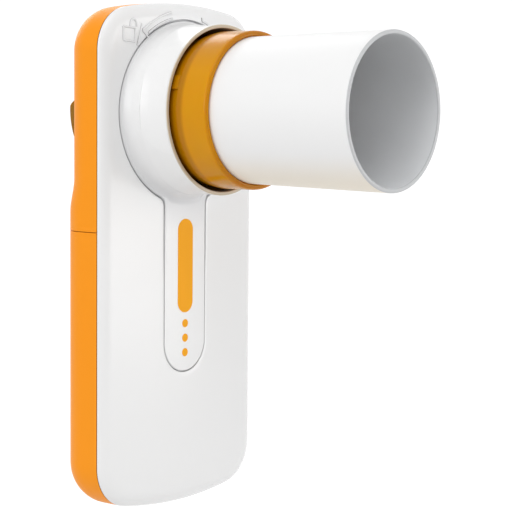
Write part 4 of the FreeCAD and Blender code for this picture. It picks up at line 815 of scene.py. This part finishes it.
class METER_OT_neck_insert(bpy.types.Operator):
    """White neck insert: keyhole plate and strip, cove, waisted neck with finger hollows, and thin lip."""
    bl_idname = "meter.neck_insert"
    bl_label = "Neck insert"

    def execute(self, context):
        """Each ray carries a profile from the plate's edge over the plate to the neck's foot, then up the
        neck and down its bore. The neck's part is a revolution whose radius the hollows change."""
        orders, sides = both_sides(insert_orders(), True)
        outer, inner = neck_profile()
        edge = keyhole(orders, 0.0)
        edge[0] *= sides
        aim = np.arctan2(edge[1] - AIRWAY_Z, edge[0])
        neck = size("neck")
        low = orders > level_orders(fillet_heights(0.0)[0] - 0.15, AIRWAY_Z, SPINE_LOW_Z)
        turn, lows = np.where(low, 0.0, aim), np.flatnonzero(low)
        ends = aim[lows[0] - 1], aim[(lows[-1] + 1) % len(aim)]
        start, stop = (end if end < 0 else end - 2 * math.pi for end in ends)
        travel = travelled(edge[:, lows])
        turn[lows] = start + (stop - start) * (travel / travel[-1])
        foot = bezel_reach(turn) - 0.22 + 0.8 * smooth(3 - np.degrees(np.abs(turn + QUARTER)) / 6)
        cove = foot - neck

        def height(x, z):
            """The crowned face and, nearer to the neck, a quarter of an ellipse that leaves it level."""
            level = face_y(x)
            inward = np.clip((foot - np.hypot(x, z - AIRWAY_Z)) / cove, 0, 1)
            rise = level - float(face_y(0.0)) + size("cove_length")
            return level - rise * (1 - np.sqrt(1 - inward ** 2))

        inner_edge = edge - 0.2 * np.array([np.cos(aim), np.sin(aim)])
        rows = [behind(edge, drop) for drop in (PLATE, 0.45, 0.2)]
        rows += [spot(x, height(x, z), z) for x, z in between(inner_edge, about_airway(foot, turn), 14)]
        for radius, y in outer:
            line = scalloped(neck + (radius - neck) * np.where(radius > neck, cove / size("cove"), 1), y, turn)
            x, z = about_airway(line, turn)
            rows.append(spot(x, y if radius < neck + 1e-6 else height(x, z), z))
        for radius, y in inner:
            x, z = about_airway(radius, turn)
            rows.append(spot(x, y, z))
        rows += [behind(place, PLATE) for place in between(about_airway(SEAT, turn), edge, 8)]

        def groove(points):
            """Shaded in the gap round the insert, more softly in the cove and below it on the strip, and 2, for
            deep shade, down in the bore."""
            radius = from_airway(points)
            gap = np.clip((sunk(points) - 0.1) / 0.2, 0, 1)
            bore = 2 * np.clip((points[:, 1] - size("lip_y") - 0.6) / 0.5, 0, 1)
            low = np.clip((AIRWAY_Z - 10 - points[:, 2]) / 9, 0, 1)
            cove = np.clip(radius - neck + 0.1, 0, 1) * np.clip((26.5 - radius) / 6.5, 0, 1)
            cove *= 0.45 + 0.5 * low
            return np.where(radius > 17.4, np.maximum(gap, cove), bore)

        moulding("neck_insert", [(np.array(rows), True)], "case", "white_gloss", ["neck_bezel"], groove, 38)
        return {"FINISHED"}


class METER_OT_strip_mark(bpy.types.Operator):
    """Orange pill and dots on the strip, as thin domed film."""
    bl_idname = "meter.strip_mark"
    bl_label = "Strip mark"

    def execute(self, context):
        """A pill is the set of points at a distance from a short line; rings of it shrink towards the
        line while their height rises by a quarter of an ellipse."""
        patches = []
        turn = np.linspace(0, 2 * math.pi, 96, endpoint=False)
        rings = ((0.0, -0.05), (1.0, -0.05), (1.0, 0.06), (0.98, 0.085), (0.85, 0.098), (0.5, 0.1), (0.0, 0.1))
        spots = [(MARK, MARK_TOP_Z, MARK_FOOT_Z)] + [(DOT, z, z) for z in DOTS_Z]
        for radius, high, low in spots:
            rows = []
            for part, lift in rings:
                x = radius * part * np.cos(turn)
                z = np.where(np.sin(turn) >= 0, high, low) + radius * part * np.sin(turn)
                rows.append(behind((x, z), -lift))
            patches.append((np.array(rows), True))
        moulding("strip_mark", patches, "case", "orange_print", ["accent_label"])
        return {"FINISHED"}


def stroke(path, width, height):
    """Raised line on the face along a path of (x, z) points: across it, half a flat ellipse."""
    path = np.array(path, float)
    ahead = np.gradient(path, axis=0)
    ahead /= np.linalg.norm(ahead, axis=1, keepdims=True)
    across = np.array([1.0, 1.0, 0.8, 0.4, 0.0, -0.4, -0.8, -1.0, -1.0, 1.0])[:, None] * width / 2
    lift = np.array([-0.08, 0.0, 0.6, 0.92, 1.0, 0.92, 0.6, 0.0, -0.08, -0.08])[:, None] * height
    x = path[:, 0] - ahead[:, 1] * across
    z = path[:, 1] + ahead[:, 0] * across
    return capped(behind((x, z), -lift))


def turning(radius, start, end, steps, centre_x=0.0, centre_z=AIRWAY_Z):
    """Points of a circle's arc on the face, between two angles in degrees."""
    aim = np.radians(np.linspace(start, end, steps))
    return np.stack([centre_x + radius * np.cos(aim), centre_z + radius * np.sin(aim)], axis=-1)


class METER_OT_face_marks(bpy.types.Operator):
    """Raised marks that show how the turbine turns: an open lock, a stroke, an arrow and a stop."""
    bl_idname = "meter.face_marks"
    bl_label = "Face marks"

    def execute(self, context):
        """Each mark is made of raised lines along straight or round paths."""
        box = [(-18.9, 48.9), (-18.75, 46.0), (-15.6, 45.8), (-15.5, 48.6)]
        lines = [np.linspace(box[k], box[(k + 1) % 4], 6) for k in range(4)]
        lines.append(np.concatenate([[(-17.0, 48.9)], turning(0.85, 190, 0, 12, -16.0, 49.6), [(-15.1, 48.9)]]))
        lines.append(np.linspace((-13.6, 49.6), (-14.9, 45.0), 8))
        lines += [turning(21.3, 126, 103, 30), turning(19.95, 126, 103, 30)]
        lines += [np.linspace((-11.2, 49.9), (-13.4, 48.3), 6), np.linspace((-13.4, 48.3), (-11.9, 46.9), 6)]
        lines += [np.linspace((5.1, 51.7), (5.15, 50.9), 4), turning(20.0, 75, 68, 10)]

        def groove(points):
            """Shaded towards the foot of each raised line, and most on the lines next to the neck insert."""
            return np.clip(1.15 + sunk(points) / 0.3, 0, 1) * np.where(from_airway(points) < 20.9, 1.75, 1.3)

        patches = [stroke(line, STROKE, STROKE_LIFT) for line in lines]
        moulding("face_marks", patches, "case", "white_gloss", (), groove)
        return {"FINISHED"}


def back_grid(ray, inset, stops):
    """Rows of the back from the parting plane up the straight wall, round the edge and in to each stop.

    A stop is a distance from the spine and a number of rows. All is drawn in by the inset."""
    start_z, dx, dz = ray
    radius, rows = size("back_round") - inset, []
    foot = SEAM - 0.03 if inset else SEAM
    if not inset:
        x, z = outline_point(ray, 0.1)
        rows.append(spot(x, foot - 0.03, z))
    x, z = outline_point(ray, inset)
    top = back_level(z) - size("back_round")
    rows += [spot(x, foot + (top - foot) * part, z) for part in (0.0, 0.02, 0.34, 0.67, 1.0)]
    if inset:
        rows.insert(0, rows[0])
    for turn in np.linspace(0, QUARTER, 17)[1:]:
        x, z = outline_point(ray, inset + radius * (1 - math.cos(turn)))
        rows.append(spot(x, back_y(x, z, inset), z))
    here = outline_reach(*ray, inset + radius)
    for there, steps in stops:
        for far in between(here, there, steps + 1)[1:]:
            x, z = dx * far, start_z + dz * far
            rows.append(spot(x, back_y(x, z, inset), z))
        here = there
    return np.array(rows)


def shell(outer, inner):
    """Closed skin of an outer and an inner grid: both, the rim at their first rows and both ends."""
    ends = [(np.stack([outer[:, k], inner[:, k]]), False) for k in (0, -1)]
    return [(outer, False), (inner, False), (np.stack([outer[0], inner[0]]), False)] + ends


def parting_shade(points):
    """Painted shade where a rear piece turns in at the parting plane."""
    inset = edge_distance(points[:, 0], points[:, 2])
    return ((points[:, 1] < 0.2) & (inset > 0.05)).astype(float)


def section(z, inset, foot_y):
    """Profile of the back at one height, from the left foot over the back to the right foot."""
    half = back_grid((np.array([z]), np.ones(1), np.zeros(1)), inset, [(0.0, 10)])[:, 0]
    half[:, 1] = np.maximum(half[:, 1], foot_y)
    return np.concatenate([half * (-1, 1, 1), half[::-1]])


class METER_OT_rear_cover(bpy.types.Operator):
    """Orange upper cover with the turbine's outlet, the bulkhead, the lip for the door and its tab."""
    bl_idname = "meter.rear_cover"
    bl_label = "Rear cover"

    def execute(self, context):
        """Rays fan out over the airway and run level below it, so the last ones lie in the door line."""
        split, outlet, foot_y = size("split_z"), size("outlet"), COVER_FOOT_Y
        circle = AIRWAY_Z - (outlet + np.array([[0.0], [size("dish")]])) * np.sin(np.linspace(0, QUARTER, 50))
        heights = np.concatenate([circle.ravel(), np.linspace(17.4, 9.6, 40), np.linspace(9.6, split, 8)])
        orders = np.concatenate([even_orders(420, AIRWAY_Z, split), level_orders(heights, AIRWAY_Z, split)])
        orders = np.unique(np.round(np.concatenate([[0.0, 1.0, 2.0], orders[(orders > 0) & (orders < 2)]]), 5))
        orders, sides = both_sides(orders, False)
        ray = spine_ray(orders, AIRWAY_Z, split)
        start_z = ray[0]

        def hole(radius):
            """Distance from the spine to a circle round the airway; none where the ray misses it."""
            level = np.sqrt(np.maximum(radius ** 2 - (start_z - AIRWAY_Z) ** 2, 0))
            return np.where(orders < 1, radius, level)

        stops = [(hole(outlet + size("dish")), 14), (hole(outlet), 3)]
        outer, inner = back_grid(ray, 0.0, stops), back_grid(ray, size("wall"), stops)
        for grid in (outer, inner):
            grid[..., 0] *= sides
        opened = start_z > AIRWAY_Z - outlet - 1e-4
        patches = shell(outer, inner) + [(np.stack([outer[-1, opened], inner[-1, opened]]), False)]
        low, high = (section(z, BULKHEAD_INSET, foot_y) for z in (split, split + BULKHEAD))
        flat = [curve * (1, 0, 1) + (0, foot_y, 0) for curve in (low, high)]
        patches.append((np.array([flat[0], low, high, flat[1], flat[0]]), False))
        lip = [section(split + rise, inset, foot_y) for rise, inset in
               ((-1.4, 1.75), (-1.4, 2.65), (0.7, 2.65), (0.7, 1.75), (-1.4, 1.75))]
        patches.append(capped(np.array(lip)))
        x, y = np.array([(-6.8, 4.7), (6.8, 4.7), (7, 4.9), (7, 6.0), (6.8, 6.2), (-6.8, 6.2), (-7, 6.0),
                         (-7, 4.9), (-6.8, 4.7)]).T[..., None]
        patches.append(capped(spot(x, y, np.array([-4.0, split + 0.7]))))
        moulding("rear_cover", patches, "case", "orange_shell", ["rear_shell"], parting_shade, 34)
        return {"FINISHED"}


class METER_OT_battery_door(bpy.types.Operator):
    """Orange battery door: a deep cup with rounded edges and four finger grooves."""
    bl_idname = "meter.battery_door"
    bl_label = "Battery door"

    def execute(self, context):
        """Rays leave a spine level with the body's middle line; grooves are round channels whose ends
        fade out, cut across the flat back."""
        top, low_z = size("split_z") - 0.15, -30.0
        heights = np.concatenate([np.linspace(top, -4.0, 16), np.linspace(-4.0, -16.0, 97),
                                  np.linspace(-16.0, low_z, 16)])
        orders = np.concatenate([level_orders(heights, top, low_z), 2 + np.linspace(0, 1, 110)])
        orders, sides = both_sides(3 - np.unique(np.round(3 - orders, 5)), False)
        ray = spine_ray(orders, top, low_z)
        outer, inner = (back_grid(ray, inset, [(0.0, 30)]) for inset in (0.0, size("wall")))
        for grid in (outer, inner):
            grid[..., 0] *= sides
        for number in range(GROOVES):
            away = outer[..., 2] + 6.0 + GROOVE_STEP * number
            depth = np.sqrt(np.maximum(GROOVE_RADIUS ** 2 - away ** 2, 0)) - GROOVE_RADIUS + GROOVE_DEPTH
            ends = smooth((GROOVE_HALF - np.abs(outer[..., 0])) / 0.6)
            outer[..., 1] -= np.where(outer[..., 1] > 12.0, np.maximum(depth, 0) * ends, 0)
        patches = shell(outer, inner)
        moulding("battery_door_cover", patches, "door", "orange_shell", ["battery_door"], parting_shade, 34)
        return {"FINISHED"}


class METER_OT_turbine(bpy.types.Operator):
    """Amber turbine: grip ring with the socket, tube with bayonet lugs, and three finger lobes."""
    bl_idname = "meter.turbine"
    bl_label = "Turbine"

    def execute(self, context):
        """A revolution whose end is pushed back between the lobes, plus short curved blocks as lugs."""
        ring, front, socket, rear = size("ring"), size("ring_front"), size("tube") + 0.05, 16.35
        profile = [(socket, front + 0.3), (socket + 0.3, front), (ring - 0.7, front)]
        profile += arc(ring - 0.7, front + 0.7, 0.7, -90, 0, 8)[1:]
        profile = drawn(profile, (ring, front + 8.05, 6), (ring - 0.2, front + 8.25, 1),
                        (rear, front + 8.25, 1), (rear, -12.9, 3), (BARREL, -12.0, 1), (BARREL, 9.5, 6),
                        (TAIL - 0.2, 9.5, 1), (TAIL - 0.2, 11.9, 1), (TAIL, 12.2, 1), (TAIL, NOTCH_Y, 1),
                        (TAIL, TAIL_Y - 0.2, 6), (TAIL - 0.4, TAIL_Y, 1), (AIRWAY + 0.2, TAIL_Y, 1),
                        (AIRWAY, TAIL_Y - 0.2, 1), (AIRWAY, NOTCH_Y, 6), (AIRWAY, SOCKET_Y, 8),
                        (socket, SOCKET_Y, 1), (socket, front + 0.3, 1))
        grid = turned(profile, 360)[0]
        turn = np.degrees(np.arctan2(grid[..., 2] - AIRWAY_Z, grid[..., 0]))
        across = np.abs((turn - LOBE_AIM + 60.0) % 120.0 - 60.0) * math.radians(1) * 14.5
        part = np.clip((across - LOBE) / 2.4, 0, 1)
        limit = NOTCH_Y + (TAIL_Y - NOTCH_Y) * np.sqrt(np.clip(1 - (1 - part) ** 2, 0, 1))
        grid[..., 1] = np.where(grid[..., 1] > NOTCH_Y, np.minimum(grid[..., 1], limit), grid[..., 1])
        patches = [(grid, True)]
        blocks = [(90 + 120 * k, 22.0, 1.0, 2.8, 16.9) for k in range(3)]
        blocks += [(160 + 120 * k, 10.0, -14.95, -13.05, 16.8) for k in range(3)]
        for middle, width, y0, y1, outer in blocks:
            aim = np.radians(np.linspace(middle - width / 2, middle + width / 2, 17))
            loop = np.array([(15.6, y0), (outer - 0.15, y0), (outer, y0 + 0.15), (outer, y1 - 0.15),
                             (outer - 0.15, y1), (15.6, y1), (15.6, y0)])
            radius, y = loop.T[..., None]
            x, z = about_airway(radius, aim)
            patches.append(capped(spot(x, y, z)))
        moulding("turbine_body", patches, "turbine", "amber_clear", ["turbine_housing"], None, 32)
        return {"FINISHED"}


class METER_OT_mouth_tube(bpy.types.Operator):
    """White mouthpiece: a plain tube with a softened free end."""
    bl_idname = "meter.mouth_tube"
    bl_label = "Mouthpiece"

    def execute(self, context):
        """A revolution of a closed wall profile with round corners at the free end. Its radius grows evenly
        from the ring to that end."""
        outer, wall, end = size("tube"), size("tube_wall"), size("tube_end")
        inner, ring, flare = outer - wall, size("ring_front"), size("tube_flare")
        profile = arc(outer - 0.3, end + 0.3, 0.3, 0, -90, 6) + arc(inner + 0.3, end + 0.3, 0.3, -90, -180, 6)
        profile = np.array(drawn(profile, (inner, ring, 16), (inner, SOCKET_Y - 0.2, 8),
                                 (outer, SOCKET_Y - 0.2, 1), (outer, ring, 8), (outer, end + 0.3, 16)))
        profile[:, 0] += flare * np.clip((ring - profile[:, 1]) / (ring - end), 0, 1)

        def groove(points):
            """1 on the inner wall, for its painted shade."""
            grown = flare * np.clip((ring - points[:, 1]) / (ring - end), 0, 1)
            return np.clip((inner + grown + 0.12 - from_airway(points)) / 0.1, 0, 1)

        moulding("mouth_tube", [turned(profile, 256)], "mouth_tube", "white_satin", ["mouthpiece"], groove, 50)
        return {"FINISHED"}


class METER_OT_inner_finishes(bpy.types.Operator):
    """Finishes of all the pieces that keep their own solids."""
    bl_idname = "meter.inner_finishes"
    bl_label = "Inner finishes"

    def execute(self, context):
        """The record says which slot each node has."""
        slots = {part["node"]: part["material_slot"] for part in frame["record"]["subparts"]}
        for node, piece in frame["nodes"].items():
            dress(piece, slots[node])
        return {"FINISHED"}


class METER_OT_stage(bpy.types.Operator):
    """Pale floor and backdrop, soft lights and the camera."""
    bl_idname = "meter.stage"
    bl_label = "Stage"

    def execute(self, context):
        """The floor is a profile swept sideways: flat, then a quarter circle up to a plain wall. It lies low
        enough for the battery door to slide off above it."""
        scene = context.scene
        turn, across = np.linspace(0, QUARTER, 24), np.array([-2.5, 2.5])
        y = np.concatenate([[-1.5], 0.6 + 0.4 * np.sin(turn), [1.0]])[:, None]
        z = np.concatenate([[0.0], 0.4 - 0.4 * np.cos(turn), [2.0]])[:, None] + cad_box[0][2] - FLOOR_DROP
        c, s = math.cos(FLOOR_AIM), math.sin(FLOOR_AIM)
        points = spot(across * c - y * s, across * s + y * c, z).reshape(-1, 3)
        mesh = bpy.data.meshes.new("floor")
        mesh.from_pydata(points.tolist(), [], grid_faces(len(y), 2, False, 0).tolist())
        mesh.shade_smooth()
        floor = bpy.data.objects.new("floor", mesh)
        scene.collection.objects.link(floor)
        f = Finish("backdrop", Roughness=0.9)
        f.feed(Base_Color=f.cloudy(0.98, 30.0, paint("backdrop"), 0.1)[0])
        glow = f.add("ShaderNodeEmission", {"Color": (1, 1, 1, 1), "Strength": GLOW})
        shaders = {0: f.background_seen() * GLOW_SHARE, 1: Socket(f, f.shader.outputs[0]),
                   2: Socket(f, glow.outputs[0])}
        blend = f.add("ShaderNodeMixShader", shaders)
        f.tree.links.new(blend.outputs[0], f.tree.nodes["Material Output"].inputs["Surface"])
        mesh.materials.append(f.material)
        world = bpy.data.worlds.new("studio")
        scene.world = world
        world.use_nodes = True
        sky = Graph(world.node_tree)
        background = sky.tree.nodes["Background"]
        background.inputs["Color"].default_value = (1, 1, 1, 1)
        strength = sky.background_seen() * (1 - SKY) + SKY
        sky.tree.links.new(strength.link, background.inputs["Strength"])
        for name, place, width, power in LAMPS:
            light = bpy.data.lights.new(name, "AREA")
            light.size, light.energy = width, power
            lamp = bpy.data.objects.new(name, light)
            lamp.location = place
            lamp.rotation_mode = "QUATERNION"
            lamp.rotation_quaternion = (Vector(AIMED_AT) - Vector(place)).to_track_quat("-Z", "Y")
            scene.collection.objects.link(lamp)
        camera = bpy.data.cameras.new("camera")
        camera.lens, camera.clip_start = camera.sensor_width * CAMERA_FOCUS, 0.01
        holder = bpy.data.objects.new("camera", camera)
        azimuth, pitch, roll = CAMERA_TURN
        pose = Matrix.Translation(CAMERA_PLACE)
        for angle, axis in ((-azimuth, "Z"), (QUARTER + pitch, "X"), (roll, "Z")):
            pose = pose @ Matrix.Rotation(angle, 4, axis)
        holder.matrix_world = pose
        scene.collection.objects.link(holder)
        scene.camera = holder
        scene.view_settings.view_transform = "Standard"
        return {"FINISHED"}


class METER_PT_panel(bpy.types.Panel):
    """Buttons that build the meter."""
    bl_idname = "METER_PT_panel"
    bl_label = "Peak flow meter"
    bl_space_type = "VIEW_3D"
    bl_region_type = "UI"
    bl_category = "Meter"

    def draw(self, context):
        for operator in OPERATORS:
            self.layout.operator(operator.bl_idname)
        for group in (context.scene.meter_sizes, context.scene.meter_colours):
            column = self.layout.column()
            for name in group.bl_rna.properties.keys():
                if name not in ("rna_type", "name"):
                    column.prop(group, name)


OPERATORS = (
    METER_OT_inner_finishes,
    METER_OT_front_cover,
    METER_OT_neck_insert,
    METER_OT_strip_mark,
    METER_OT_face_marks,
    METER_OT_rear_cover,
    METER_OT_battery_door,
    METER_OT_turbine,
    METER_OT_mouth_tube,
    METER_OT_stage,
)


def register():
    for kind in (MeterSizes, MeterColours, *OPERATORS, METER_PT_panel):
        bpy.utils.register_class(kind)
    bpy.types.Scene.meter_sizes = bpy.props.PointerProperty(type=MeterSizes)
    bpy.types.Scene.meter_colours = bpy.props.PointerProperty(type=MeterColours)


def unregister():
    del bpy.types.Scene.meter_colours
    del bpy.types.Scene.meter_sizes
    for kind in (METER_PT_panel, *reversed(OPERATORS), MeterColours, MeterSizes):
        bpy.utils.unregister_class(kind)


def main():
    register()
    for operator in OPERATORS:
        group, name = operator.bl_idname.split(".")
        getattr(getattr(bpy.ops, group), name)()


if __name__ == "__main__":
    main()
